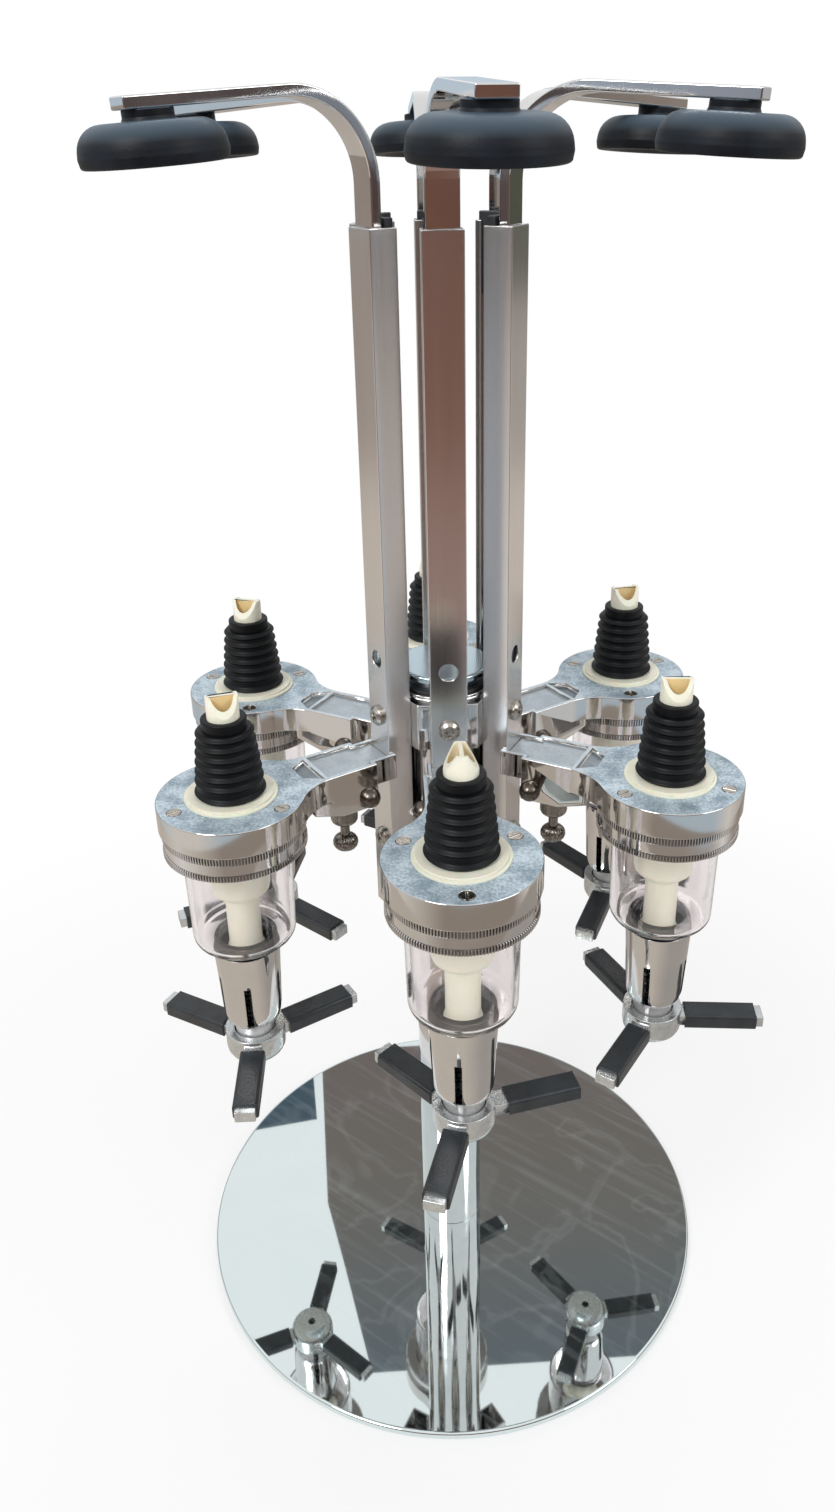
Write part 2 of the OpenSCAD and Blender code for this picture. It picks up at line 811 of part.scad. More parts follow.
module thumbscrews() {
  straight = thumb_collar_h - thumb_slope;
  knob_z = thumb_collar_h + thumb_waist_h;
  color("silver")
    for_stations()
      translate([chan_face_r + thumb_out, 0, block_low_z])
        rotate([180, 0, 0]) {
          translate([0, 0, -thumb_reach])
            cylinder(d = thumb_d, h = thumb_reach + straight);
          cylinder(d = thumb_collar_d, h = straight);
          translate([0, 0, straight])
            cylinder(d1 = thumb_collar_d, d2 = thumb_collar_d - 2 * thumb_slope, h = thumb_slope);
          translate([0, 0, straight])
            cylinder(d = thumb_waist_d, h = knob_z + thumb_knob_h / 2 - straight);
          translate([0, 0, knob_z])
            rotate_extrude()
              intersection() {
                translate([0, thumb_knob_h / 2])
                  circle(d = thumb_knob_d);
                square([thumb_knob_d, thumb_knob_h]);
              }
        }
}

// Measures: chamber, lock ring, pouring tube and stopper at each bracket's ring

module ring_screw_places() {
  for (turn = [0, 120, 240])
    rotate([0, 0, turn])
      translate([ring_screw_r, 0, 0])
        children();
}

module ring_screws() {
  head_z = deck_z - ring_head_h;
  low_z = ring_low_z - chamber_flange_t;
  color("gray")
    for_measures()
      ring_screw_places() {
        translate([0, 0, low_z])
          cylinder(d = ring_screw_d, h = deck_z - low_z - ring_head_h / 2);
        translate([0, 0, head_z])
          difference() {
            cylinder(d = ring_head_d, h = ring_head_h);
            translate([0, 0, ring_head_h])
              cube([ring_head_d * 2, ring_head_d / 6, ring_head_h], center = true);
          }
      }
}

module lock_rings() {
  r = lock_d / 2;
  waist = r - knurl_depth;
  lip_r = chamber_d / 2 + seat_fit;
  bore_r = chamber_flange_d / 2 + seat_fit;
  color("silver")
    for_measures()
      translate([0, 0, lock_low_z])
        turned([[lip_r, 0], [r, 0], [r, knurl_h], [waist, knurl_h], [waist, lock_h - knurl_h],
                [r, lock_h - knurl_h], [r, lock_h], [bore_r, lock_h], [bore_r, lock_lip], [lip_r, lock_lip]]);
}

module chambers() {
  top_r = chamber_d / 2;
  low_r = top_r - chamber_taper / 2;
  wall_z = lock_low_z;
  flange_z = ring_low_z - chamber_flange_t;
  floor_z = chamber_low_z + chamber_wall;
  color([0.86, 0.88, 0.86, 0.5])
    for_measures()
      difference() {
        rotate_extrude() {
          translate([0, flange_z])
            square([chamber_flange_d / 2, chamber_flange_t]);
          translate([0, wall_z])
            square([top_r, ring_low_z - wall_z]);
          polygon([[0, chamber_low_z], [low_r - chamber_round, chamber_low_z],
                   [low_r, chamber_low_z + chamber_round], [top_r, wall_z], [0, wall_z]]);
          translate([low_r - chamber_round, chamber_low_z + chamber_round])
            circle(r = chamber_round);
          translate([0, neck_low_z])
            square([neck_d / 2, neck_len + chamber_wall]);
        }
        turned([[0, floor_z], [low_r - chamber_round, floor_z],
                [low_r - chamber_wall, chamber_low_z + chamber_round], [top_r - chamber_wall, wall_z],
                [top_r - chamber_wall, ring_low_z + over], [0, ring_low_z + over]]);
        translate([0, 0, neck_low_z - over])
          cylinder(d = neck_d - 2 * neck_wall, h = neck_len + chamber_wall + 2 * over);
        ring_screw_places()
          translate([0, 0, flange_z - over])
            cylinder(d = ring_screw_d + 2 * seat_fit, h = chamber_flange_t + 2 * over);
      }
}

module valve_tubes() {
  step_r = flange_d / 2 - flange_step;
  neck_r = ring_bore / 2 - seat_fit;
  funnel_z = ring_low_z - funnel_drop;
  cone_z = funnel_z - funnel_round - funnel_cone;
  tip_z = stopper_top_z + tip_h;
  wide_r = collar_d / 2 + slide_room;
  wide_z = seat_top_z + collar_h + plunge + 2 * slide_room;
  color("#f1e6c4")
    for_measures() {
      difference() {
        turned([[0, tube_low_z], [tube_lip_d / 2, tube_low_z], [tube_lip_d / 2, tube_low_z + over],
                [tube_d / 2, tube_low_z + 2 * over], [tube_d / 2, cone_z],
                for (a = [90 : -30 : 0])
                  [funnel_d / 2 - funnel_round * (1 - cos(a)), funnel_z - funnel_round * sin(a)],
                [funnel_d / 2, ring_low_z], [neck_r, ring_low_z], [neck_r, deck_z], [flange_d / 2, deck_z],
                [flange_d / 2, deck_z + flange_h / 2], [step_r, deck_z + flange_h / 2],
                [step_r, flange_top_z], [spout_d / 2, flange_top_z], [spout_d / 2, tip_z], [0, tip_z]]);
        cylinder(d = tube_bore, h = tip_z + over);
        cylinder(r = wide_r, h = wide_z);
        for (side = [0, 180])
          rotate([0, 0, tip_turns[$i - 1] - 60 * ($i - 1) + 90 + side])
            translate([0, 0, stopper_top_z])
              rotate([90, 0, 0])
                linear_extrude(2 * spout_d, center = true)
                  polygon([[ridge_w / 2, tip_h + over], [ridge_w / 2, tip_h], [spout_d / 2, slope_foot],
                           [spout_d, slope_foot], [spout_d, tip_h + over]]);
      }
      rotate([0, 0, tip_turns[$i - 1] - 60 * ($i - 1) + 90])
        translate([0, 0, tip_z - web_len])
          linear_extrude(web_len)
            square([web_t, (tube_bore + spout_d) / 2], center = true);
    }
}

module stoppers() {
  foot_h = 2 * stopper_rib_r;
  rib_top = stopper_h - stopper_collar_h - stopper_rib_r;
  rib_step = (rib_top - foot_h / 2) / (stopper_ribs - 1);
  foot_r = stopper_d / 2 - stopper_rib_r;
  head_r = stopper_top_d / 2 - stopper_rib_r;
  function core_r(k) = foot_r + (head_r - foot_r) * k / (stopper_ribs - 1);
  color("#1c1c1e")
    for_measures()
      translate([0, 0, flange_top_z])
        difference() {
          rotate_extrude() {
            polygon([[0, 0], [foot_r, 0], [foot_r, foot_h / 2], [head_r, rib_top],
                     [stopper_collar_d / 2, stopper_h - stopper_collar_h],
                     [stopper_collar_d / 2, stopper_h], [0, stopper_h]]);
            for (k = [0 : stopper_ribs - 1])
              translate([core_r(k), foot_h / 2 + k * rib_step])
                circle(r = stopper_rib_r, $fn = 24);
          }
          translate([0, 0, -over])
            cylinder(d = spout_d + 2 * seat_fit, h = stopper_h + 2 * over);
        }
}

// Valves: a slit nozzle with the seat, the star plunger, its sleeves and its spring

module nozzles() {
  socket_r = neck_d / 2 + seat_fit;
  seat_r = neck_d / 2 - neck_wall - seat_fit;
  color("silver")
    for_measures()
      difference() {
        turned([[0, spigot_low_z], [spigot_d / 2, spigot_low_z], [spigot_d / 2, nozzle_foot_z],
                for (a = [90 : -15 : 0])
                  [nozzle_foot_d / 2 + (nozzle_waist_d - nozzle_foot_d) / 2 * cos(a),
                   nozzle_foot_z + nozzle_round_h * (1 - sin(a))],
                [nozzle_d / 2, nozzle_top_z], [socket_r, nozzle_top_z],
                [socket_r, neck_low_z], [seat_r, neck_low_z], [seat_r, seat_top_z], [0, seat_top_z]]);
        cylinder(d = stem_d + 2 * slide_room, h = seat_top_z + over);
        cylinder(d = nozzle_bore, h = guide_low_z);
        for (turn = [0 : 60 : 120])
          rotate([0, 0, turn])
            translate([0, 0, seat_top_z])
              cube([2 * seat_r + neck_wall, seat_slot, seat_h / 2], center = true);
        for (turn = [0 : 90 : 270])
          rotate([0, 0, turn + nozzle_turns[$i - 1]])
            translate([spigot_d / 4, -nozzle_slit_w / 2, nozzle_foot_z])
              cube([nozzle_d, nozzle_slit_w, nozzle_slit_h]);
      }
}

module prong_places(i) {
  for ($turn = [0, 120, 240])
    rotate([0, 0, star_turns[i - 1] - 60 * (i - 1) + 90 + $turn])
      translate([0, 0, prong_z])
        rotate([0, 90, 0])
          children();
}

module plunger(i) {
  r = star_d / 2;
  collar_z = seat_top_z + slide_room;
  color("gainsboro")
    at_measure(i)
      difference() {
        union() {
          turned([[0, star_low_z - star_nose_h],
                  for (a = [90 : -15 : 0])
                    [star_nose_d / 2 + (r - star_nose_d / 2) * cos(a), star_low_z - star_nose_h * sin(a)],
                  [r, star_top_z], [star_bore / 2, star_top_z], [star_bore / 2, star_floor_z], [0, star_floor_z]]);
          translate([0, 0, star_floor_z - over])
            cylinder(d = stem_d, h = collar_z + collar_h - star_floor_z + over);
          translate([0, 0, collar_z])
            cylinder(d = collar_d, h = collar_h);
          prong_places(i)
            translate([-prong_h / 2, -prong_w / 2, star_bore / 2 + slide_room])
              cube([prong_h, prong_w, prong_reach - star_bore / 2 - slide_room]);
        }
        cylinder(d = stem_bore, h = deck_z);
      }
}

module rounded_bar(h, w, r) {
  square([h - 2 * r, w], center = true);
  square([h, w - 2 * r], center = true);
  for (x = [-1, 1], y = [-1, 1])
    translate([x * (h / 2 - r), y * (w / 2 - r)])
      circle(r = r, $fn = 24);
}

module plunger_grips(i) {
  color("#202224")
    at_measure(i)
      prong_places(i)
        translate([0, 0, prong_reach - grip_len - ([i, $turn] == slid_grip ? 0 : prong_bare)])
          linear_extrude(grip_len)
            difference() {
              rounded_bar(grip_h, grip_w, grip_round);
              square([prong_h + 2 * seat_fit, prong_w + 2 * seat_fit], center = true);
            }
}

// A wire of six sides and eight rings to a curl, wound as one unbroken tube
spring_rings = 8;
spring_sides = 6;
spring_steps = spring_curls * spring_rings;
spring_rise = spring_top_z - spring_low_z;
spring_slope = atan2(spring_rise / spring_curls, PI * spring_d);
function spring_turn(k) = 360 * k / spring_rings;
function spring_centre(k) = [spring_d / 2 * cos(spring_turn(k)), spring_d / 2 * sin(spring_turn(k)),
                             spring_low_z + spring_rise * k / spring_steps];
function spring_up(k) = [sin(spring_turn(k)) * sin(spring_slope), -cos(spring_turn(k)) * sin(spring_slope),
                         cos(spring_slope)];
function spring_out(k) = [cos(spring_turn(k)), sin(spring_turn(k)), 0];
function spring_skin(k, s) = let (a = 360 * s / spring_sides)
  spring_centre(k) + spring_wire / 2 * (cos(a) * spring_out(k) + sin(a) * spring_up(k));
spring_points = [for (k = [0 : spring_steps], s = [0 : spring_sides - 1]) spring_skin(k, s)];
spring_walls = [for (k = [0 : spring_steps - 1], s = [0 : spring_sides - 1], half = [0, 1])
  let (a = k * spring_sides + s, b = k * spring_sides + (s + 1) % spring_sides)
  half == 0 ? [a, a + spring_sides, b] : [b, a + spring_sides, b + spring_sides]];
spring_first = [for (s = [1 : spring_sides - 2]) [0, s, s + 1]];
spring_last = [for (s = [1 : spring_sides - 2])
  [spring_steps * spring_sides, spring_steps * spring_sides + s + 1, spring_steps * spring_sides + s]];
spring_gap = min([for (k = [0 : spring_steps - spring_rings], near = [-1 : 1])
  norm(spring_centre(k + spring_rings + near) - spring_centre(k))]) - spring_wire;

module valve_spring(i) {
  echo(least_gap_between_curls = spring_gap);
  color("lightgray")
    at_measure(i)
      polyhedron(spring_points, concat(spring_walls, spring_first, spring_last));
}

base_plate();
base_pad();
pole();
pole_bolt();
pole_journal();
thrust_washers();
hub_cap();
hub();
for (i = [1 : stations]) {
  channel(i);
  bracket(i);
  bottle_rod(i);
  bottle_cushion(i);
  plunger(i);
  plunger_grips(i);
  valve_spring(i);
}
rod_guides();
channel_screws();
clamp_bolts();
thumbscrews();
ring_screws();
lock_rings();
chambers();
valve_tubes();
stoppers();
nozzles();
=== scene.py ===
import math
import bmesh
import bpy
from mathutils import Matrix, Vector, kdtree


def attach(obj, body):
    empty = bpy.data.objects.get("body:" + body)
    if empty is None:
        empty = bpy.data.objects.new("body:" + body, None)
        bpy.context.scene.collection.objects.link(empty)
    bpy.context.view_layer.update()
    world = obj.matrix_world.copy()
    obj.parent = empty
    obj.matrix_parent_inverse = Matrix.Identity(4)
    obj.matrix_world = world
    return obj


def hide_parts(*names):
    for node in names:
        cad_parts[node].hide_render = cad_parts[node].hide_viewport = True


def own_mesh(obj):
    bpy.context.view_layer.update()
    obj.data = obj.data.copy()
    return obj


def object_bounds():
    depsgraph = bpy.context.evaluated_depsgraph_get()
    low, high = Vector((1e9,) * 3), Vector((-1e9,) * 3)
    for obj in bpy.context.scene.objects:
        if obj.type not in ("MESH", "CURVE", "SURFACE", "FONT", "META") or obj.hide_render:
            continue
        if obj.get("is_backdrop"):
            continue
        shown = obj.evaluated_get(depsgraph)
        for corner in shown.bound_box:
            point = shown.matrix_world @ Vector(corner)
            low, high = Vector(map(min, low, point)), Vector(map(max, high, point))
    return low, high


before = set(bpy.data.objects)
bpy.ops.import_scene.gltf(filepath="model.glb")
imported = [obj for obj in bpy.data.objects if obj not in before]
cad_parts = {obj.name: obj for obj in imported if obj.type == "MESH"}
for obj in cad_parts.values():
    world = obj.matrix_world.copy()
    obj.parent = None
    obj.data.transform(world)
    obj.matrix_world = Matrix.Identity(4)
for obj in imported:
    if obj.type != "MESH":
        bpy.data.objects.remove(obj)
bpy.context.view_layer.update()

# Base plate: a flat disc pressed from steel sheet, its edge turned round, then polished and
# chromed. The pole is bolted through its middle. Bar cloths leave swirls and smears on it.
MM = 0.001
PLATE_LOW, PLATE_TOP, PLATE_R = 0.9, 4.5, 127.5
BOLT_R, BOLT_SINK_R, BOLT_SINK_TOP = 4.05, 7.3, 3.0


def linear(code):
    """The linear colour that a shader socket takes, from an sRGB hex value."""
    parts = [int(code[i:i + 2], 16) / 255 for i in (1, 3, 5)]
    return [c / 12.92 if c <= 0.04045 else ((c + 0.055) / 1.055) ** 2.4 for c in parts] + [1.0]


def add(tree, kind, inputs=None, **settings):
    """Adds one node: its settings, then its sockets, each by value or by link."""
    node = tree.nodes.new(kind)
    for key, value in settings.items():
        setattr(node, key, value)
    for key, value in (inputs or {}).items():
        if isinstance(value, bpy.types.NodeSocket):
            tree.links.new(value, node.inputs[key])
        else:
            node.inputs[key].default_value = value
    return node


def finish(name):
    """An empty material, its node tree, the output that its shader goes to, and the place on the piece."""
    material = bpy.data.materials.new(name)
    material.use_nodes = True
    tree = material.node_tree
    tree.nodes.clear()
    return (material, tree, add(tree, "ShaderNodeOutputMaterial"),
            add(tree, "ShaderNodeTexCoord").outputs["Object"])


def noise(tree, place, size, detail, **more):
    """A cloudy pattern with spots of about a size, from 0 to 1."""
    return add(tree, "ShaderNodeTexNoise", {"Vector": place, "Scale": 1 / size, "Detail": detail,
                                            **more}).outputs["Fac"]


def mixed(tree, share, first, last):
    """A colour between two others, each an sRGB hex value or a link."""
    ends = [linear(end) if isinstance(end, str) else end for end in (first, last)]
    return add(tree, "ShaderNodeMix", {"Factor": share, 6: ends[0], 7: ends[1]}, data_type="RGBA").outputs[2]


def ranged(tree, value, given, wanted=(0.0, 1.0)):
    """A value carried over from one range to another, held at its ends."""
    return add(tree, "ShaderNodeMapRange", {"Value": value, "From Min": given[0], "From Max": given[1],
                                            "To Min": wanted[0], "To Max": wanted[1]}).outputs[0]


def reckoned(tree, operation, *values):
    """One step of arithmetic."""
    return add(tree, "ShaderNodeMath", dict(enumerate(values)), operation=operation).outputs[0]


def marked(tree, name):
    """The level of a mesh attribute, 0 where there is none."""
    return add(tree, "ShaderNodeAttribute", attribute_name=name).outputs["Fac"]


def bumped(tree, height, strength, distance):
    """Fine relief as a change of normal."""
    return add(tree, "ShaderNodeBump", {"Height": height, "Strength": strength, "Distance": distance}).outputs[0]


def upward(tree):
    """How far a face looks up, 1 for a level top."""
    normal = add(tree, "ShaderNodeNewGeometry").outputs["Normal"]
    return add(tree, "ShaderNodeSeparateXYZ", {0: normal}).outputs["Z"]


def coat(tree, out, inputs):
    """The shader of a finish, joined to its output."""
    tree.links.new(add(tree, "ShaderNodeBsdfPrincipled", inputs).outputs[0], out.inputs["Surface"])


def rounded(corners, steps=5, hold=0.12):
    """A closed outline through corners (radius, height, rounding), each rounding as a short arc.
    A point just off each arc's ends, where there is room, keeps the faces beside it flat to the light."""
    spots = [Vector(corner[:2]) for corner in corners]
    ways, halves = [], []
    for i, here in enumerate(spots):
        ways.append([(spots[i - 1] - here).normalized(), (spots[(i + 1) % len(spots)] - here).normalized()])
        halves.append(ways[i][0].angle(ways[i][1]) / 2)
    reach = [ease / math.tan(half) if ease > 0 else 0 for (_, _, ease), half in zip(corners, halves)]
    outline = []
    for i, (here, (_, _, ease)) in enumerate(zip(spots, corners)):
        if ease <= 0:
            outline.append(tuple(here))
            continue
        ends = [here + way * reach[i] for way in ways[i]]
        centre = here + (ways[i][0] + ways[i][1]).normalized() * ease / math.sin(halves[i])
        first, last = (math.atan2(end.y - centre.y, end.x - centre.x) for end in ends)
        sweep = (last - first + math.pi) % (2 * math.pi) - math.pi
        arc = [(centre.x + ease * math.cos(first + sweep * step / steps),
                centre.y + ease * math.sin(first + sweep * step / steps)) for step in range(steps + 1)]
        for end, way, other, place in ((ends[0], ways[i][0], i - 1, 0), (ends[1], ways[i][1], i + 1, steps + 2)):
            other %= len(spots)
            if (spots[other] - here).length - reach[i] - reach[other] > 3 * hold:
                arc.insert(place, tuple(end + way * hold))
        outline += arc
    return outline


def settled(bm, name, sharp=35):
    """A mesh from bm with its faces outwards, smooth but for edges sharper than an angle."""
    bmesh.ops.recalc_face_normals(bm, faces=bm.faces)
    for face in bm.faces:
        face.smooth = True
    mesh = bpy.data.meshes.new(name)
    bm.to_mesh(mesh)
    bm.free()
    mesh.set_sharp_from_angle(angle=math.radians(sharp))
    return mesh


def turned(name, outline, steps=128, flute=None):
    """A closed outline in millimetres turned round Z; flute(height) may give (count, depth)."""
    bm = bmesh.new()
    rings = []
    for r, z in outline:
        count, depth = flute(z) if flute else (1, 0)
        spots = []
        for k in range(steps if r > 1e-6 else 1):
            a = 2 * math.pi * k / steps
            reach = (r - depth * (0.5 - 0.5 * math.cos(count * a))) * MM
            spots.append(bm.verts.new((reach * math.cos(a), reach * math.sin(a), z * MM)))
        rings.append(spots)
    for low, high in zip(rings, rings[1:] + rings[:1]):
        for k in range(steps if len(low) + len(high) > 2 else 0):
            n = (k + 1) % steps
            ring = [low[k % len(low)], low[n % len(low)], high[n % len(high)], high[k % len(high)]]
            bm.faces.new(list(dict.fromkeys(ring)))
    return settled(bm, name)


def piece(name, mesh, material, body, slot, *stands_for):
    """An object of the model that rides on a body and may stand for solids of the frame."""
    obj = bpy.data.objects.new(name, mesh)
    bpy.context.scene.collection.objects.link(obj)
    mesh.materials.clear()
    mesh.materials.append(material)
    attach(obj, body)
    if stands_for:
        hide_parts(*stands_for)
    return obj


# Mirror chrome gives back what stands round it, dulled a little where cloths have left smears.
plate_chrome, tree, out, place = finish("polished_chrome_plate")
smear = noise(tree, place, 0.06, 3, Distortion=1.2)
off_line = reckoned(tree, "ABSOLUTE", reckoned(tree, "SUBTRACT", smear, 0.53))
swirl = ranged(tree, off_line, (0.0, 0.035), (0.05, 0.0))
wiped = add(tree, "ShaderNodeMapping", {"Vector": place, "Rotation": (0, 0, math.radians(-40)),
                                        "Scale": (0.11, 0.005, 1.0)}, vector_type="TEXTURE")
streak = noise(tree, wiped.outputs[0], 1.0, 4, Distortion=0.3)
stroke = ranged(tree, streak, (0.52, 0.8), (0.0, 0.12))
haze = reckoned(tree, "ADD", swirl, stroke)
mirror = reckoned(tree, "SUBTRACT", 1.0, haze)
shade = mixed(tree, smear, "#d6e2e3", "#e0e8e8")
coat(tree, out, {"Base Color": shade, "Metallic": mirror, "Roughness": 0.025})

plate_outline = rounded([(BOLT_SINK_R, PLATE_LOW, 0), (PLATE_R, PLATE_LOW, 0.8), (PLATE_R, PLATE_TOP, 1.4),
                         (BOLT_R, PLATE_TOP, 0), (BOLT_R, BOLT_SINK_TOP, 0), (BOLT_SINK_R, BOLT_SINK_TOP, 0)])
piece("base_plate_disc", turned("base_plate_disc", plate_outline, 256), plate_chrome, "stand", "mirror_chrome",
      "base_plate")

# Base pad: thin foam rubber sheet glued under the plate, so that it neither slides nor scratches.
# Foam rubber is black and quite dull, with an even pattern of small open cells.
foam, tree, out, place = finish("foam_rubber_sheet")
cells = add(tree, "ShaderNodeTexVoronoi", {"Vector": place, "Scale": 1 / 0.0012})
shade = mixed(tree, cells.outputs["Distance"], "#151515", "#2a2a2a")
coat(tree, out, {"Base Color": shade, "Roughness": 0.85})


def dress(node, material):
    """Gives a solid of the frame its material; its shape stays."""
    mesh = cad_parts[node].data
    mesh.materials.clear()
    mesh.materials.append(material)


dress("base_pad", foam)

# Pole: a drawn steel tube, polished along its length and chromed, its foot closed by a welded
# plug that takes the bolt. The journal in its top is plain plated steel, inside the hub.
POLE_R, POLE_BORE_R, POLE_TOP, PLUG_TOP, THREAD_TOP = 15.5, 13.5, 309.6, 29.5, 20.8

# Chrome over polished metal mirrors darks and lights sharply, a little wavy and clouded by hands.
# Its darkening attribute is painted shade, in the knurls' roots and the nozzles' slits, seats and bores; worn takes
# its mirror off where parts rub.
chrome, tree, out, place = finish("polished_chrome")
cloud = noise(tree, place, 0.012, 4)
dull = ranged(tree, cloud, (0.35, 0.7), (0.035, 0.11))
clean = mixed(tree, cloud, "#cccccd", "#dcdbda")
grime_and_painted_shade = marked(tree, "grime_and_painted_shade")
shade = mixed(tree, grime_and_painted_shade, clean, "#34353a")
ripple = noise(tree, place, 0.006, 2)
relief = bumped(tree, ripple, 0.05, 0.00015)
worn = marked(tree, "worn")
mirror = reckoned(tree, "MULTIPLY_ADD", worn, -0.6, 1.0)
dull = reckoned(tree, "MULTIPLY_ADD", worn, 0.25, dull)
coat(tree, out, {"Base Color": shade, "Metallic": mirror, "Roughness": dull, "Normal": relief})

pole_outline = rounded([(BOLT_R, PLATE_TOP, 0), (POLE_R, PLATE_TOP, 0.3), (POLE_R, POLE_TOP, 0.4),
                        (POLE_BORE_R, POLE_TOP, 0), (POLE_BORE_R, PLUG_TOP, 0), (0, PLUG_TOP, 0),
                        (0, THREAD_TOP, 0), (BOLT_R, THREAD_TOP, 0)])
piece("pole_tube", turned("pole_tube", pole_outline, 160), chrome, "stand", "mirror_chrome", "pole")

# Zinc plate is a greyer, softer mirror than chrome, mottled in small grains, and browns with age.
steel, tree, out, place = finish("zinc_plated_steel")
grain = noise(tree, place, 0.002, 3)
dull = ranged(tree, grain, (0.0, 1.0), (0.14, 0.34))
clean = mixed(tree, grain, "#8f8a83", "#c8c3bb")
grime_and_painted_shade = marked(tree, "grime_and_painted_shade")
shade = mixed(tree, grime_and_painted_shade, clean, "#4a4038")
coat(tree, out, {"Base Color": shade, "Metallic": 1.0, "Roughness": dull})
dress("pole_journal", steel)
dress("pole_bolt", steel)

# Hub: a turned steel sleeve with two six-sided collars that the channels are screwed to, closed
# by a flanged plate. It is chromed, and turns on the pole between black nylon washers.

# Broken edges: points nearer than WELD metres are one, faces that turn less than FLAT_TURN degrees are
# one, edges that turn less than RUN_TURN follow on, and an edge needs ROOM widths to be broken.
WELD, FLAT_TURN, RUN_TURN, ROOM = 2e-6, 0.5, 40, 2.2


def eased_copy(name, node, width, steps=2, turn=30):
    """A copy of a solid's mesh, joined into flat faces, its outer edges broken where there is room."""
    bm = bmesh.new()
    bm.from_mesh(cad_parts[node].data)
    bmesh.ops.remove_doubles(bm, verts=bm.verts, dist=WELD)
    bmesh.ops.dissolve_limit(bm, angle_limit=math.radians(FLAT_TURN), verts=bm.verts, edges=bm.edges)
    sharp = [e for e in bm.edges
             if len(e.link_faces) == 2 and e.is_convex and e.calc_face_angle(0) > math.radians(turn)]
    # edges that follow on smoothly make one run
    run = dict.fromkeys(sharp)
    for number, first in enumerate(sharp):
        ahead = [first] if run[first] is None else []
        while ahead:
            edge = ahead.pop()
            run[edge] = number
            for vert in edge.verts:
                way = vert.co - edge.other_vert(vert).co
                ahead += [e for e in vert.link_edges if e in run and run[e] is None
                          and way.angle(e.other_vert(vert).co - vert.co, 0) < math.radians(RUN_TURN)]
    meets = {(run[a], run[b]) for v in bm.verts for a in v.link_edges if a in run for b in v.link_edges if b in run}
    spots = []
    for edge in sharp:
        count = max(1, int(edge.calc_length() / (width * MM)))
        spots += [(edge.verts[0].co.lerp(edge.verts[1].co, (k + 0.5) / count), edge) for k in range(count)]
    near = kdtree.KDTree(len(spots))
    for number, (spot, _) in enumerate(spots):
        near.insert(spot, number)
    near.balance()
    lengths = {}
    for edge in sharp:
        lengths[run[edge]] = lengths.get(run[edge], 0) + edge.calc_length()
    room = ROOM * width * MM
    cramped = {edge for edge in sharp if lengths[run[edge]] < room}
    for spot, edge in spots:
        for _, number, _ in near.find_range(spot, room):
            other = spots[number][1]
            if (run[edge], run[other]) not in meets and set(edge.link_faces) & set(other.link_faces):
                cramped.add(edge)
    bmesh.ops.bevel(bm, geom=[e for e in sharp if e not in cramped], offset=width * MM, offset_type="OFFSET",
                    segments=steps, profile=0.5, affect="EDGES", clamp_overlap=False)
    holder = bpy.data.objects.new(name + "_eased", settled(bm, name, 60))
    bpy.context.scene.collection.objects.link(holder)
    # wide faces keep their own direction, so that a flat face mirrors as a flat one
    holder.modifiers.new("flat_faces", "WEIGHTED_NORMAL").keep_sharp = True
    graph = bpy.context.evaluated_depsgraph_get()
    mesh = bpy.data.meshes.new_from_object(holder.evaluated_get(graph), preserve_all_data_layers=True,
                                           depsgraph=graph)
    bpy.data.objects.remove(holder)
    mesh.name = name
    return mesh


def eased_piece(name, node, width, material, body, slot, steps=2):
    """A solid of the frame with its edges broken, as the piece that stands for it."""
    piece(name, eased_copy(name, node, width, steps), material, body, slot, node)


eased_piece("hub_sleeve", "hub", 0.4, chrome, "rotor", "mirror_chrome")

# Black nylon shows soft broad lights over a fine moulded grain.
nylon, tree, out, place = finish("black_nylon_moulding")
grain = noise(tree, place, 0.0015, 3)
shade = mixed(tree, grain, "#1a1c1f", "#393d41")
relief = bumped(tree, grain, 0.25, 0.0002)
coat(tree, out, {"Base Color": shade, "Roughness": 0.45, "Normal": relief})
dress("thrust_washers", nylon)

# Hub cap: a turned chromed knob pressed on the journal. It keeps the hub down, and its top is
# finished satin, in fine rings from the lathe.
CAP_LOW, CAP_NECK_TOP, CAP_TOP, CAP_BORE_TOP = 322.4, 326.0, 329.0, 327.8
CAP_R, CAP_NECK_R, CAP_BORE_R = 20.0, 16.5, 8.05

# Satin chrome blurs what it mirrors to one cool even tone, with faint rings.
satin_chrome, tree, out, place = finish("satin_chrome")
rings = add(tree, "ShaderNodeTexWave", {"Vector": place, "Scale": 1 / 0.003, "Distortion": 1.5, "Detail": 3},
            wave_type="RINGS", rings_direction="Z")
dull = ranged(tree, rings.outputs["Fac"], (0.0, 1.0), (0.16, 0.3))
shade = mixed(tree, rings.outputs["Fac"], "#b4c5ce", "#c8d8e0")
coat(tree, out, {"Base Color": shade, "Metallic": 1.0, "Roughness": dull})

cap_outline = rounded([(CAP_BORE_R, CAP_LOW, 0), (CAP_NECK_R, CAP_LOW, 0.3), (CAP_NECK_R, CAP_NECK_TOP, 0.4),
                       (CAP_R, CAP_NECK_TOP, 0.5), (CAP_R, CAP_TOP, 1.3), (0, CAP_TOP, 0),
                       (0, CAP_BORE_TOP, 0), (CAP_BORE_R, CAP_BORE_TOP, 0)])
piece("hub_cap_knob", turned("hub_cap_knob", cap_outline, 128), satin_chrome, "stand", "mirror_chrome", "hub_cap")

# Channels: lipped sections rolled from aluminium strip and screwed to the hub's flats, their
# open side towards the pole. The satin finish runs along them in fine drawn lines.
STATIONS = range(1, 7)
# the first faces the front and the others follow anticlockwise seen from above, in degrees
FIRST_AT, APART = -90, 60

# Drawn aluminium smears its lights across the drawn lines and keeps a warm silver tone.
drawn_aluminium, tree, out, place = finish("drawn_satin_aluminium")
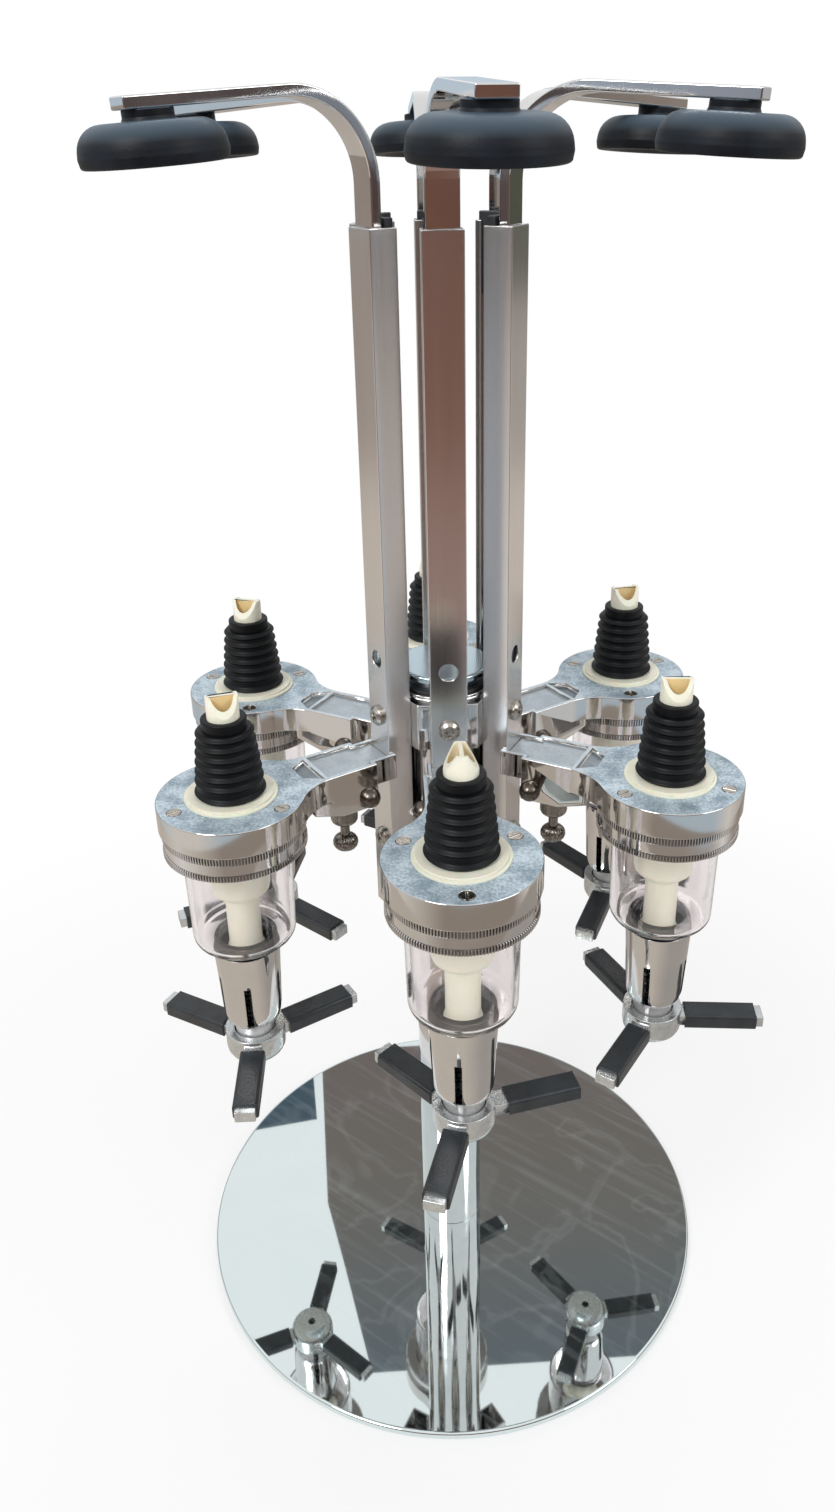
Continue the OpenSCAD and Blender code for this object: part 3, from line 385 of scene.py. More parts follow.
# the drawn lines are about 0.2 mm apart; at 0.5 mm they show
lines_place = add(tree, "ShaderNodeMapping", {"Vector": place, "Scale": (1 / 0.0005, 1 / 0.0005, 1 / 0.09)})
lines = noise(tree, lines_place.outputs[0], 1.0, 3)
broad_place = add(tree, "ShaderNodeMapping", {"Vector": place, "Scale": (1 / 0.004, 1 / 0.004, 1 / 0.16)})
broad = noise(tree, broad_place.outputs[0], 1.0, 2)
dull = ranged(tree, lines, (0.3, 0.7), (0.2, 0.24))
shade = mixed(tree, broad, "#d6d4d3", "#dedcdb")
relief = bumped(tree, lines, 0.03, 0.0001)
coat(tree, out, {"Base Color": shade, "Metallic": 1.0, "Roughness": dull, "Normal": relief})
for k in STATIONS:
    eased_piece("upright_%d" % k, "channel_%d" % k, 0.42, drawn_aluminium, "rotor", "satin_aluminium")

# Channel screws: two steel pan-head screws hold each channel to the hub.
eased_piece("pan_head_screws", "channel_screws", 0.15, steel, "rotor", "screw_steel")

# Rod guides: nylon blocks pushed into the channels' tops, which keep the rods from rattling.
eased_piece("guide_blocks", "rod_guides", 0.4, nylon, "rotor", "black_plastic")

# Bottle rods: flat steel bar with rounded edges, bent over a former, polished and chromed. Each
# slides in its channel and is held at any height by friction.
for k in STATIONS:
    eased_piece("bent_rod_%d" % k, "bottle_rod_%d" % k, 0.6, chrome, "rod_%d" % k, "mirror_chrome", 3)

# Bottle cushions: solid black rubber domes moulded with a boss and fixed under the rods' ends.
# They press on the upturned bottles' bases, and have gone matt and a little grey with dust.
ROD_FACE_R, ROD_BACK_R = 31.3, 27.3
BEND_R, BEND_Z, ARM_DROOP, FRONT_TURN, CUSHION_PLACE_R = 27.0, 519.1, 4.0, 6.8, 106.4
# heights are below the rod's arm; the sole is dished
DISH_Z, DISH_R, DISH_EDGE_Z, SOLE_Z, SOLE_R, SOLE_RIM_R = -13.6, 14.5, -14.3, -15.9, 18.6, 23.2
DOME_R, DOME_WIDE_Z, DOME_SHOULDER_R, DOME_TOP = 23.75, -12.9, 22.6, -3.4
BOSS_R, BOSS_FOOT_R, BOSS_FOOT_Z = 8.15, 8.6, -2.2

# Old rubber is near black and bluish and mottled with dust; faces that look up get a painted pale bluish reflection
# of the sky.
dome_rubber, tree, out, place = finish("matt_moulded_rubber")
dust = noise(tree, place, 0.014, 6, Roughness=0.6)
grain = noise(tree, place, 0.0009, 2)
fade = ranged(tree, dust, (0.38, 0.72))
bare = mixed(tree, fade, "#070b11", "#121a24")
painted_top_light = ranged(tree, upward(tree), (0.3, 0.95), (0.0, 0.8))
shade = mixed(tree, painted_top_light, bare, "#5b6d7c")
dull = ranged(tree, dust, (0.0, 1.0), (0.36, 0.6))
relief = bumped(tree, grain, 0.3, 0.00015)
coat(tree, out, {"Base Color": shade, "Roughness": dull, "Specular IOR Level": 0.22, "Normal": relief})

dome_outline = rounded([(0, DISH_Z, 0), (DISH_R, DISH_EDGE_Z, 3), (SOLE_R, SOLE_Z, 1.0), (SOLE_RIM_R, SOLE_Z, 1.1),
                        (DOME_R, DOME_WIDE_Z, 2.2), (DOME_SHOULDER_R, DOME_TOP, 8.4), (BOSS_FOOT_R, DOME_TOP, 0.5),
                        (BOSS_R, BOSS_FOOT_Z, 0.4), (BOSS_R, 0, 0.3), (0, 0, 0)], 8)
bend_x = ROD_FACE_R + BEND_R
droop = math.radians(ARM_DROOP)
along = (CUSHION_PLACE_R - bend_x - BEND_R * math.sin(droop)) / math.cos(droop)


def at_station(k):
    """The turn about the pole that brings +X to station k."""
    return Matrix.Rotation(math.radians(APART * (k - 1) + FIRST_AT), 4, "Z")


for k in STATIONS:
    middle = Matrix.Translation(((ROD_FACE_R + ROD_BACK_R) / 2 * MM, 0, 0))
    twist = Matrix.Rotation(math.radians(FRONT_TURN if k == 1 else 0), 4, "Z")
    arm = Matrix.Translation((bend_x * MM, 0, BEND_Z * MM)) @ Matrix.Rotation(droop, 4, "Y")
    seat = Matrix.Translation((along * MM, 0, BEND_R * MM))
    mesh = turned("rubber_dome_%d" % k, dome_outline, 96)
    mesh.transform(at_station(k) @ middle @ twist @ middle.inverted() @ arm @ seat)
    piece("rubber_dome_%d" % k, mesh, dome_rubber, "rod_%d" % k, "black_rubber", "bottle_cushion_%d" % k)

# Brackets: zinc castings, chromed, each a ring on a rimmed arm with a clamping block under it.
# The sides are polished; the tops were left as cast, and spilt spirits have pitted their chrome.
DECK_Z = 296.5

# The pitted tops have lost their mirror and scatter the light to a speckled cool grey; the arms'
# tops keep some, and the sides mirror like other chrome.
cast_chrome, tree, out, place = finish("chromed_zinc_casting")
top = ranged(tree, upward(tree), (0.75, 0.95))
pits = noise(tree, place, 0.0012, 4, Roughness=0.6)
blots = noise(tree, place, 0.009, 3)
worn = reckoned(tree, "MULTIPLY", pits, blots)
rough_top = ranged(tree, worn, (0.15, 0.4), (0.46, 0.34))
dull = add(tree, "ShaderNodeMix", {"Factor": top, 2: 0.07, 3: rough_top}, data_type="FLOAT").outputs[0]
speck = ranged(tree, worn, (0.16, 0.34))
pitted = mixed(tree, speck, "#8c9fad", "#cfdee8")
# hands have polished the arms' rims; painted shade darkens their sunk panels, more the deeper they lie
flat = add(tree, "ShaderNodeMapping", {"Vector": place, "Scale": (1, 1, 0)})
off_pole = add(tree, "ShaderNodeVectorMath", {0: flat.outputs[0]}, operation="LENGTH")
on_arm = ranged(tree, off_pole.outputs["Value"], (0.066, 0.075), (0.7, 0.0))
handled = mixed(tree, on_arm, pitted, "#dde5ea")
height = add(tree, "ShaderNodeSeparateXYZ", {0: place})
sunk = ranged(tree, height.outputs["Z"], ((DECK_Z - 2.6) * MM, (DECK_Z - 0.5) * MM), (0.5, 1.0))
top_tone_with_painted_shade = add(tree, "ShaderNodeMix", {"Factor": 1.0, 6: handled, 7: sunk}, data_type="RGBA",
           blend_type="MULTIPLY").outputs[2]
shade = mixed(tree, top, "#cbc9c6", top_tone_with_painted_shade)
kept = reckoned(tree, "MULTIPLY_ADD", on_arm, 0.9, 0.22)
mirror = add(tree, "ShaderNodeMix", {"Factor": top, 2: 1.0, 3: kept}, data_type="FLOAT").outputs[0]
depth = reckoned(tree, "MULTIPLY", pits, top)
relief = bumped(tree, depth, 0.3, 0.0003)
coat(tree, out, {"Base Color": shade, "Metallic": mirror, "Roughness": dull, "Normal": relief})
for k in STATIONS:
    eased_piece("cast_bracket_%d" % k, "bracket_%d" % k, 0.6, cast_chrome, "rotor", "cast_chrome")

# Clamp bolts and ring screws: bought steel fasteners, round heads outside and small slotted
# heads sunk in the rings' tops.
BOLT_GRIME, THUMB_GRIME = 0.8, 0.5


def soil(mesh, level):
    """Gives a whole mesh one level of grime."""
    grime_and_shade_levels = mesh.attributes.new("grime_and_painted_shade", "FLOAT", "POINT").data
    grime_and_shade_levels.foreach_set("value", [level] * len(grime_and_shade_levels))


bolts = eased_copy("clamp_bolt_set", "clamp_bolts", 0.2)
soil(bolts, BOLT_GRIME)
piece("clamp_bolt_set", bolts, steel, "rotor", "screw_steel", "clamp_bolts")
eased_piece("ring_screw_set", "ring_screws", 0.12, steel, "rotor", "screw_steel")

# Thumbscrews: turned steel, a round collar over a knob, both knurled for the fingers and
# plated. They screw up into the brackets' blocks.
THUMB_TOP, THUMB_R, THUMB_PLACE_R, SHANK_TOP, WAIST_R = 276.5, 2.5, 52.4, 4.5, 2.05
THUMB_COLLAR_R, THUMB_COLLAR_LOW = 5.9, -10.7
KNOB_R, KNOB_HALF, KNOB_Z, KNOB_MEETS_WAIST = 5.55, 4.2, -20.4, 3.6
FLUTES, FLUTE_DEPTH, COLLAR_FLUTED_LOW, COLLAR_FLUTED_TOP, KNOB_FLUTED_TOP = 22, 0.4, -7.5, -0.4, -17.5


def ring_of(name, mesh, material, count, radius, height=0.0, first=0.0):
    """Copies of a mesh set round the Z axis by nodes, as one plain mesh."""
    tree = bpy.data.node_groups.get("ring_of_copies")
    if tree is None:
        tree = bpy.data.node_groups.new("ring_of_copies", "GeometryNodeTree")
        for label, kind in (("Piece", "NodeSocketObject"), ("Count", "NodeSocketInt"),
                            ("Radius", "NodeSocketFloat"), ("Height", "NodeSocketFloat"),
                            ("First", "NodeSocketFloat"), ("Finish", "NodeSocketMaterial")):
            tree.interface.new_socket(name=label, in_out="INPUT", socket_type=kind)
        tree.interface.new_socket(name="Copies", in_out="OUTPUT", socket_type="NodeSocketGeometry")
        given = add(tree, "NodeGroupInput").outputs
        circle = add(tree, "GeometryNodeMeshCircle", {"Vertices": given["Count"], "Radius": given["Radius"]})
        lift = add(tree, "ShaderNodeCombineXYZ", {"Z": given["Height"]})
        swing = add(tree, "ShaderNodeCombineXYZ", {"Z": given["First"]})
        spots = add(tree, "GeometryNodeTransform", {"Geometry": circle.outputs[0], "Translation": lift.outputs[0],
                                                    "Rotation": swing.outputs[0]})
        share = add(tree, "ShaderNodeMath", {0: 2 * math.pi, 1: given["Count"]}, operation="DIVIDE")
        index = add(tree, "GeometryNodeInputIndex")
        angle = add(tree, "ShaderNodeMath", {0: index.outputs[0], 1: share.outputs[0], 2: given["First"]},
                    operation="MULTIPLY_ADD")
        euler = add(tree, "ShaderNodeCombineXYZ", {"Z": angle.outputs[0]})
        heading = add(tree, "FunctionNodeEulerToRotation", {0: euler.outputs[0]})
        source = add(tree, "GeometryNodeObjectInfo", {"Object": given["Piece"]})
        copies = add(tree, "GeometryNodeInstanceOnPoints", {"Points": spots.outputs[0],
                                                            "Instance": source.outputs["Geometry"],
                                                            "Rotation": heading.outputs[0]})
        real = add(tree, "GeometryNodeRealizeInstances", {"Geometry": copies.outputs[0]})
        coated = add(tree, "GeometryNodeSetMaterial", {"Geometry": real.outputs[0], "Material": given["Finish"]})
        add(tree, "NodeGroupOutput", {"Copies": coated.outputs[0]})
    source = bpy.data.objects.new(name + "_one", mesh)
    holder = bpy.data.objects.new(name + "_ring", bpy.data.meshes.new(name + "_ring"))
    for obj in (source, holder):
        bpy.context.scene.collection.objects.link(obj)
    modifier = holder.modifiers.new("ring", "NODES")
    modifier.node_group = tree
    values = {"Piece": source, "Count": count, "Radius": radius * MM, "Height": height * MM,
              "First": math.radians(first), "Finish": material}
    for item in tree.interface.items_tree:
        if item.in_out == "INPUT":
            modifier[item.identifier] = values[item.name]
    holder.update_tag()
    graph = bpy.context.evaluated_depsgraph_get()
    result = bpy.data.meshes.new_from_object(holder.evaluated_get(graph), preserve_all_data_layers=True,
                                             depsgraph=graph)
    result.name = name
    for obj in (holder, source):
        bpy.data.objects.remove(obj)
    return result


def knurled(z):
    """Fluting of the thumbscrew's collar and knob, none on its shank and waist."""
    fluted = COLLAR_FLUTED_LOW < z < COLLAR_FLUTED_TOP or z < KNOB_FLUTED_TOP
    return (FLUTES, FLUTE_DEPTH) if fluted else (1, 0)


def one_each(name, mesh, material, radius, slot, node):
    """A copy of a mesh at each station, together one piece of the rotor."""
    copies = ring_of(name, mesh, material, len(STATIONS), radius, 0, FIRST_AT)
    return piece(name, copies, material, "rotor", slot, node)


thumb_outline = rounded([(0, SHANK_TOP, 0), (THUMB_R, SHANK_TOP, 0.4), (THUMB_R, 0, 0), (THUMB_COLLAR_R, 0, 0.3),
                         (THUMB_COLLAR_R, THUMB_COLLAR_LOW, 2.7), (WAIST_R, THUMB_COLLAR_LOW, 0.3),
                         (WAIST_R, KNOB_Z + KNOB_MEETS_WAIST, 0)])
for a in range(24, 180, 12):
    thumb_outline.append((KNOB_R * math.sin(math.radians(a)), KNOB_Z + KNOB_HALF * math.cos(math.radians(a))))
thumb_outline.append((0, KNOB_Z - KNOB_HALF))
thumb = turned("thumbscrew", thumb_outline, 88, knurled)
thumb.transform(Matrix.Translation((0, 0, THUMB_TOP * MM)))
soil(thumb, THUMB_GRIME)
one_each("thumbscrew_set", thumb, steel, THUMB_PLACE_R, "screw_steel", "thumbscrews")

# Lock rings: turned brass rings, knurled at both edges and chromed. Each screws up round a
# chamber's flange and holds it against the bracket.
LOCK_LOW, LOCK_TOP, LOCK_R, LOCK_WAIST_R, TOOTH_R = 273.5, 284.9, 28.3, 28.5, 29.1
KNURL_H, UPPER_H, STATION_R = 3.2, 3.8, 102.4
LOCK_BORE_R, LOCK_SEAT_R, LOCK_SEAT_H = 22.25, 26.05, 3
# the teeth are about 0.8 mm apart; at 1.2 mm they show
KNURL_COUNT = 152
TOOTH_DEEP, TOOTH_WIDE, TOOTH_TIP, TOOTH_SHORT, ROOT_PAINTED_SHADE = 1.0, 0.95, 0.35, 0.4, 0.5

lock_outline = rounded([(LOCK_BORE_R, LOCK_LOW, 0.3), (LOCK_R, LOCK_LOW, 0.3), (LOCK_R, LOCK_LOW + KNURL_H, 0.1),
                        (LOCK_WAIST_R, LOCK_LOW + KNURL_H, 0), (LOCK_WAIST_R, LOCK_TOP - UPPER_H, 0),
                        (LOCK_R, LOCK_TOP - UPPER_H, 0.1), (LOCK_R, LOCK_TOP, 0.3), (LOCK_SEAT_R, LOCK_TOP, 0),
                        (LOCK_SEAT_R, LOCK_LOW + LOCK_SEAT_H, 0), (LOCK_BORE_R, LOCK_LOW + LOCK_SEAT_H, 0)])
lock = turned("lock_ring", lock_outline, 128)
whole = bmesh.new()
whole.from_mesh(lock)
for tall, level in ((KNURL_H, LOCK_LOW + KNURL_H / 2), (UPPER_H, LOCK_TOP - UPPER_H / 2)):
    tooth = bmesh.new()
    bmesh.ops.create_cube(tooth, size=1)
    for vert in tooth.verts:
        narrow = TOOTH_TIP if vert.co.x > 0 else 1.0
        vert.co = Vector((vert.co.x * TOOTH_DEEP, vert.co.y * TOOTH_WIDE * narrow,
                          vert.co.z * (tall - TOOTH_SHORT - vert.co.x))) * MM
    tooth_mesh = settled(tooth, "knurl_tooth", 20)
    whole.from_mesh(ring_of("knurl_band", tooth_mesh, chrome, KNURL_COUNT, TOOTH_R - TOOTH_DEEP / 2, level))
lock_knurled = bpy.data.meshes.new("lock_ring_knurled")
whole.to_mesh(lock_knurled)
whole.free()
# painted shade: the knurled bands are darkened towards the teeth's roots, between the teeth
grime_and_shade_levels = lock_knurled.attributes.new("grime_and_painted_shade", "FLOAT", "CORNER")
for face in lock_knurled.polygons:
    banded = face.center.z < (LOCK_LOW + KNURL_H) * MM or face.center.z > (LOCK_TOP - UPPER_H) * MM
    for corner, vert in zip(face.loop_indices, face.vertices):
        spot = lock_knurled.vertices[vert].co
        out_of_root = (math.hypot(spot.x, spot.y) / MM - LOCK_R) / (TOOTH_R - LOCK_R)
        grime_and_shade_levels.data[corner].value = min(ROOT_PAINTED_SHADE, max(0.0, 1 - out_of_root)) if banded else 0.0
one_each("lock_ring_set", lock_knurled, chrome, STATION_R, "cast_chrome", "lock_rings")

# Chambers: the measures, moulded clear in acrylic, flanged at the top and narrowed below to a
# neck for the nozzle. They have gone a little smoky, and their necks are darkened with painted shade.
NECK_R, NECK_TOP = 13.0, 231.0
SPIGOT_LOW, SPIGOT_R, SPIGOT_BORE_R, SHOULDER_LOW, SHOULDER_TOP = 215.9, 12.6, 11.0, 228.9, 230.7
WALL_LOW_R, WALL_R, WALL_IN_LOW_R, WALL_IN_R, FLANGE_LOW, FLANGE_R = 21.5, 22.2, 19.7, 20.4, 281.4, 26.0

# Clear acrylic lets the tube show through, dark at its steep edges and hazed in places.
clear, tree, out, place = finish("clear_acrylic_moulding")
haze = noise(tree, place, 0.009, 4)
dull = ranged(tree, haze, (0.4, 0.75), (0.01, 0.09))
# painted shade darkens the necks' clear plastic
painted_neck_shade = marked(tree, "painted_neck_shade")
shade = mixed(tree, painted_neck_shade, "#f3efef", "#5a595c")
coat(tree, out, {"Base Color": shade, "Roughness": dull, "IOR": 1.49, "Transmission Weight": 1.0})
chamber_outline = rounded([(SPIGOT_BORE_R, SPIGOT_LOW, 0), (SPIGOT_R, SPIGOT_LOW, 0.2), (SPIGOT_R, SHOULDER_LOW, 0.8),
                           (WALL_LOW_R, SHOULDER_LOW, 3.8), (WALL_R, LOCK_LOW, 0), (WALL_R, FLANGE_LOW, 0.3),
                           (FLANGE_R, FLANGE_LOW, 0.3), (FLANGE_R, LOCK_TOP, 0), (WALL_IN_R, LOCK_TOP, 0),
                           (WALL_IN_R, LOCK_LOW, 0), (WALL_IN_LOW_R, SHOULDER_TOP, 2.4),
                           (SPIGOT_BORE_R, SHOULDER_TOP, 0.6)])
chamber = turned("chamber", chamber_outline, 128)
dark = chamber.attributes.new("painted_neck_shade", "FLOAT", "POINT").data
dark.foreach_set("value", [1.0 if math.hypot(v.co.x, v.co.y) < NECK_R * MM and v.co.z < NECK_TOP * MM else 0.0
                           for v in chamber.vertices])
chambers = one_each("clear_chambers", chamber, clear, STATION_R, "clear_plastic", "chambers")
# lamps shine through clear plastic on to the tube inside
chambers.visible_shadow = chambers.visible_diffuse = False

# Valve tubes: cream acetal mouldings, a flange on the bracket, a funnel and tube in the chamber,
# and a tip cut like a roof, parted by a web. Spirits have stained the tip's inside amber.
TIP_BORE_R, TIP_LOW = 5.2, 322.0
# a face whose normal rises or falls less than this stands upright
UPRIGHT = 0.5

# Acetal is milky: light sinks in a little, and its gloss is soft.
cream, tree, out, place = finish("cream_acetal_moulding")
stain = marked(tree, "stained")
cloud = noise(tree, place, 0.006, 4)
pale = mixed(tree, cloud, "#ece8d0", "#f8f6e8")
shade = mixed(tree, stain, pale, "#efd39a")
coat(tree, out, {"Base Color": shade, "Roughness": 0.34, "IOR": 1.48, "Subsurface Weight": 0.2,
                 "Subsurface Scale": 0.002})
tubes = eased_copy("cream_tubes", "valve_tubes", 0.22)
centres = [at_station(k) @ Vector((STATION_R * MM, 0, 0)) for k in STATIONS]
mark = tubes.attributes.new("stained", "FLOAT", "CORNER")
for face in tubes.polygons:
    near = min((Vector((face.center.x, face.center.y, 0)) - c).length for c in centres)
    inside = near < TIP_BORE_R * MM and face.center.z > TIP_LOW * MM and abs(face.normal.z) < UPRIGHT
    for corner in face.loop_indices:
        mark.data[corner].value = 1.0 if inside else 0.0
piece("cream_tube_set", tubes, cream, "rotor", "cream_plastic", "valve_tubes")

# Stoppers: black rubber, moulded with soft ribs that grip and seal a bottle's neck.
STOPPER_LOW, STOPPER_TOP, STOPPER_BORE_R, LIPS = 298.5, 331.3, 6.45, 7
FOOT_R, HEAD_R, COLLAR_R, COLLAR_LOW, LIP_PROUD = 14.3, 11.4, 9.0, 327.1, 1.2
# along each lip, as shares of it: where its crest is, lower on the first one, and how broad
LIP_STEPS, CREST, FIRST_CREST, CREST_BREADTH = 14, 0.55, 0.3, 0.2

# Stopper rubber is deep black, and only the lips' rims catch a thin grey light.
stopper_rubber, tree, out, place = finish("black_stopper_rubber")
bloom = noise(tree, place, 0.004, 5)
shade = mixed(tree, bloom, "#030507", "#090d11")
dull = ranged(tree, bloom, (0.0, 1.0), (0.34, 0.52))
coat(tree, out, {"Base Color": shade, "Roughness": dull, "Specular IOR Level": 0.22})
stopper_outline = [(STOPPER_BORE_R, STOPPER_LOW)]
lip_step = (COLLAR_LOW - STOPPER_LOW) / LIPS
for lip in range(LIPS):
    crest = FIRST_CREST if lip == 0 else CREST
    for part in range(LIP_STEPS):
        share = (lip + part / LIP_STEPS) / LIPS
        edge = FOOT_R + (HEAD_R - FOOT_R) * share
        swell = math.exp(-((part / LIP_STEPS - crest) / CREST_BREADTH) ** 2)
        stopper_outline.append((edge - LIP_PROUD * (1 - swell), STOPPER_LOW + lip_step * LIPS * share))
stopper_outline += rounded([(COLLAR_R, COLLAR_LOW, 0.3), (COLLAR_R, STOPPER_TOP, 0.7),
                            (STOPPER_BORE_R, STOPPER_TOP, 0.3), (STOPPER_BORE_R, STOPPER_LOW, 0)])[:-1]
stopper = turned("stopper", stopper_outline, 96)
one_each("rubber_stoppers", stopper, stopper_rubber, STATION_R, "black_rubber", "stoppers")

# Nozzles: turned brass, tapering to a rounded foot, slit and chromed, pushed up on the chambers' necks.
# The slotted valve seat is in their tops.
SEAT_LOW, SEAT_R, BORE_R, RUBBED_TOP = 215.0, 13.2, 8.2, 187.0
# a slit's sides face round the nozzle, so their normals lean out from its axis less than this
SLIT_LEAN, SLIT_PAINTED_SHADE = 0.6, 0.9
nozzles = eased_copy("nozzle_set", "nozzles", 0.2)
# painted shade: the slits' sides, the valve seat and the bore are darkened
for label in ("grime_and_painted_shade", "worn"):
    nozzles.attributes.new(label, "FLOAT", "CORNER")
for face in nozzles.polygons:
    off_axis = min((Vector((face.center.x, face.center.y, 0)) - c for c in centres), key=lambda v: v.length)
    in_slit = abs(face.normal.dot(off_axis.normalized())) < SLIT_LEAN and abs(face.normal.z) < UPRIGHT
    painted_shade_face = in_slit or off_axis.length < (SEAT_R if face.center.z > SEAT_LOW * MM else BORE_R) * MM
    for corner in face.loop_indices:
        nozzles.attributes["grime_and_painted_shade"].data[corner].value = SLIT_PAINTED_SHADE if painted_shade_face else 0.0
        nozzles.attributes["worn"].data[corner].value = 1.0 if face.center.z < RUBBED_TOP * MM and not painted_shade_face else 0.0
piece("nozzle_set", nozzles, chrome, "rotor", "mirror_chrome", "nozzles")

# Plungers: chromed stars with three flat prongs. A glass pushes one up to open its valve.
# Tumbled chrome is a soft cloudy silver: no sharp pictures in it, bright where it faces up.
tumbled_chrome, tree, out, place = finish("tumbled_chrome")
cloud = noise(tree, place, 0.0025, 4)
dull = ranged(tree, cloud, (0.3, 0.7), (0.16, 0.32))
shade = mixed(tree, cloud, "#b4b8ba", "#dfe2e2")
relief = bumped(tree, cloud, 0.2, 0.0003)
coat(tree, out, {"Base Color": shade, "Metallic": 0.85, "Roughness": dull, "Normal": relief})
for k in STATIONS:
    eased_piece("star_%d" % k, "plunger_%d" % k, 0.35, tumbled_chrome, "lifter_%d" % k, "mirror_chrome")

# Plunger grips: black rubber sleeves pushed on the prongs so that they don't chip the glasses.
# Handled rubber has gone charcoal and shines faintly along its worn edges.
grip_rubber, tree, out, place = finish("black_sleeve_rubber")
grain = noise(tree, place, 0.0011, 4)
wear = noise(tree, place, 0.008, 3)
shade = mixed(tree, wear, "#13171a", "#33393e")
relief = bumped(tree, grain, 0.5, 0.0003)
coat(tree, out, {"Base Color": shade, "Roughness": 0.3, "Normal": relief})
for k in STATIONS:
    eased_piece("sleeves_%d" % k, "plunger_grips_%d" % k, 0.5, grip_rubber, "lifter_%d" % k, "black_rubber")

# Valve springs: drawn steel wire wound round each stem, between star and nozzle. They shorten
# as the star goes up.
SPRING_R, WIRE_R, SPRING_LOW, SPRING_TOP, CURLS = 5.9, 0.5, 170.6, 208.1, 8

# Drawn wire is half bright, with fine scale; its dark grey is painted shade, where the coils show in the nozzles'
# slits.
wire, tree, out, place = finish("drawn_spring_steel")
scale = noise(tree, place, 0.0008, 2)
dull = ranged(tree, scale, (0.0, 1.0), (0.2, 0.4))
coat(tree, out, {"Base Color": linear("#4e4b49"), "Metallic": 1.0, "Roughness": dull})
STEPS, SIDES = 24, 10
slope = math.atan2((SPRING_TOP - SPRING_LOW) / CURLS, 2 * math.pi * SPRING_R)
for k in STATIONS:
    bm = bmesh.new()
    rings = []
    for step in range(CURLS * STEPS + 1):
        a = 2 * math.pi * step / STEPS
        centre = Vector((SPRING_R * math.cos(a), SPRING_R * math.sin(a),
                         SPRING_LOW + (SPRING_TOP - SPRING_LOW) * step / (CURLS * STEPS)))
        outwards = Vector((math.cos(a), math.sin(a), 0))
        upwards = Vector((math.sin(a) * math.sin(slope), -math.cos(a) * math.sin(slope), math.cos(slope)))
        rings.append([bm.verts.new((centre + WIRE_R * (math.cos(b) * outwards + math.sin(b) * upwards)) * MM)
                      for b in (2 * math.pi * s / SIDES for s in range(SIDES))])
    for low, high in zip(rings, rings[1:]):
        for s in range(SIDES):
            bm.faces.new((low[s], low[(s + 1) % SIDES], high[(s + 1) % SIDES], high[s]))
    bm.faces.new(rings[0])
    bm.faces.new(rings[-1])
    mesh = settled(bm, "coil_spring_%d" % k, 50)
    mesh.transform(at_station(k) @ Matrix.Translation((STATION_R * MM, 0, 0)))
    coil = piece("coil_spring_%d" % k, mesh, wire, "lifter_%d" % k, "spring_steel", "valve_spring_%d" % k)
    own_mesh(coil)

# Studio: a pale floor that fades into white surroundings, soft lamps, and muted cards that only
# the polished metal sees, set as a photographer does to give chrome its darks.
scene = bpy.context.scene
scene.view_settings.view_transform = "Standard"
FLOOR_HALF, CARD_SIDES = 6, 64
HUNG_Z, HUNG_FAR, HUNG_NEAR = 0.2955, 0.45, 0.1


def looked_at(tree):
    """1 for the camera, mirrors and clear plastic, 0 for the light that falls on other things."""
    light = add(tree, "ShaderNodeLightPath").outputs
    seen = reckoned(tree, "MAXIMUM", light["Is Camera Ray"], light["Is Glossy Ray"])
    return reckoned(tree, "MAXIMUM", seen, light["Is Transmission Ray"])


paper, tree, out, place = finish("white_paper_floor")
far = add(tree, "ShaderNodeVectorMath", {0: place}, operation="LENGTH")
fade = ranged(tree, far.outputs["Value"], (0.12, 0.5), (0.55, 1.0))
part = reckoned(tree, "MULTIPLY", looked_at(tree), fade)
matt = add(tree, "ShaderNodeBsdfDiffuse", {"Color": linear("#f6f6f6")})
glow = add(tree, "ShaderNodeEmission", {"Color": linear("#ffffff"), "Strength": 1.0})
both = add(tree, "ShaderNodeMixShader", {0: part, 1: matt.outputs[0], 2: glow.outputs[0]})
tree.links.new(both.outputs[0], out.inputs["Surface"])
floor_mesh = bpy.data.meshes.new("floor")
floor_mesh.from_pydata([(x * FLOOR_HALF, y * FLOOR_HALF, 0) for x, y in ((-1, -1), (1, -1), (1, 1), (-1, 1))],
                       [], [(0, 1, 2, 3)])
floor_mesh.materials.append(paper)
floor = bpy.data.objects.new("floor", floor_mesh)
scene.collection.objects.link(floor)
floor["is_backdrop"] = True

world = bpy.data.worlds.new("white_surroundings")
scene.world = world
world.use_nodes = True
tree = world.node_tree
tree.nodes.clear()
soft = add(tree, "ShaderNodeBackground", {"Color": linear("#ffffff"), "Strength": 0.5})
white = add(tree, "ShaderNodeBackground", {"Color": linear("#ffffff"), "Strength": 1.0})
both = add(tree, "ShaderNodeMixShader", {0: looked_at(tree), 1: soft.outputs[0], 2: white.outputs[0]})
add(tree, "ShaderNodeOutputWorld", {"Surface": both.outputs[0]})

for name, spot, aim, size, power in (("key", (-1.1, -1.3, 1.7), (0, 0, 0.3), 0.9, 22),
                                     ("fill", (1.4, -0.9, 1.2), (0, 0, 0.3), 1.0, 9),
                                     ("rim", (0.3, 1.5, 1.6), (0, 0, 0.35), 0.9, 10)):
    lamp = bpy.data.lights.new(name, "AREA")
    lamp.shape, lamp.size, lamp.energy = "DISK", size, power
    holder = bpy.data.objects.new(name, lamp)
    holder.location = spot
    holder.rotation_euler = (Vector(aim) - Vector(spot)).to_track_quat("-Z", "Y").to_euler()
    # the base mirrors the cards behind, not the lamp in front of them
    holder.visible_glossy = name != "rim"
    scene.collection.objects.link(holder)


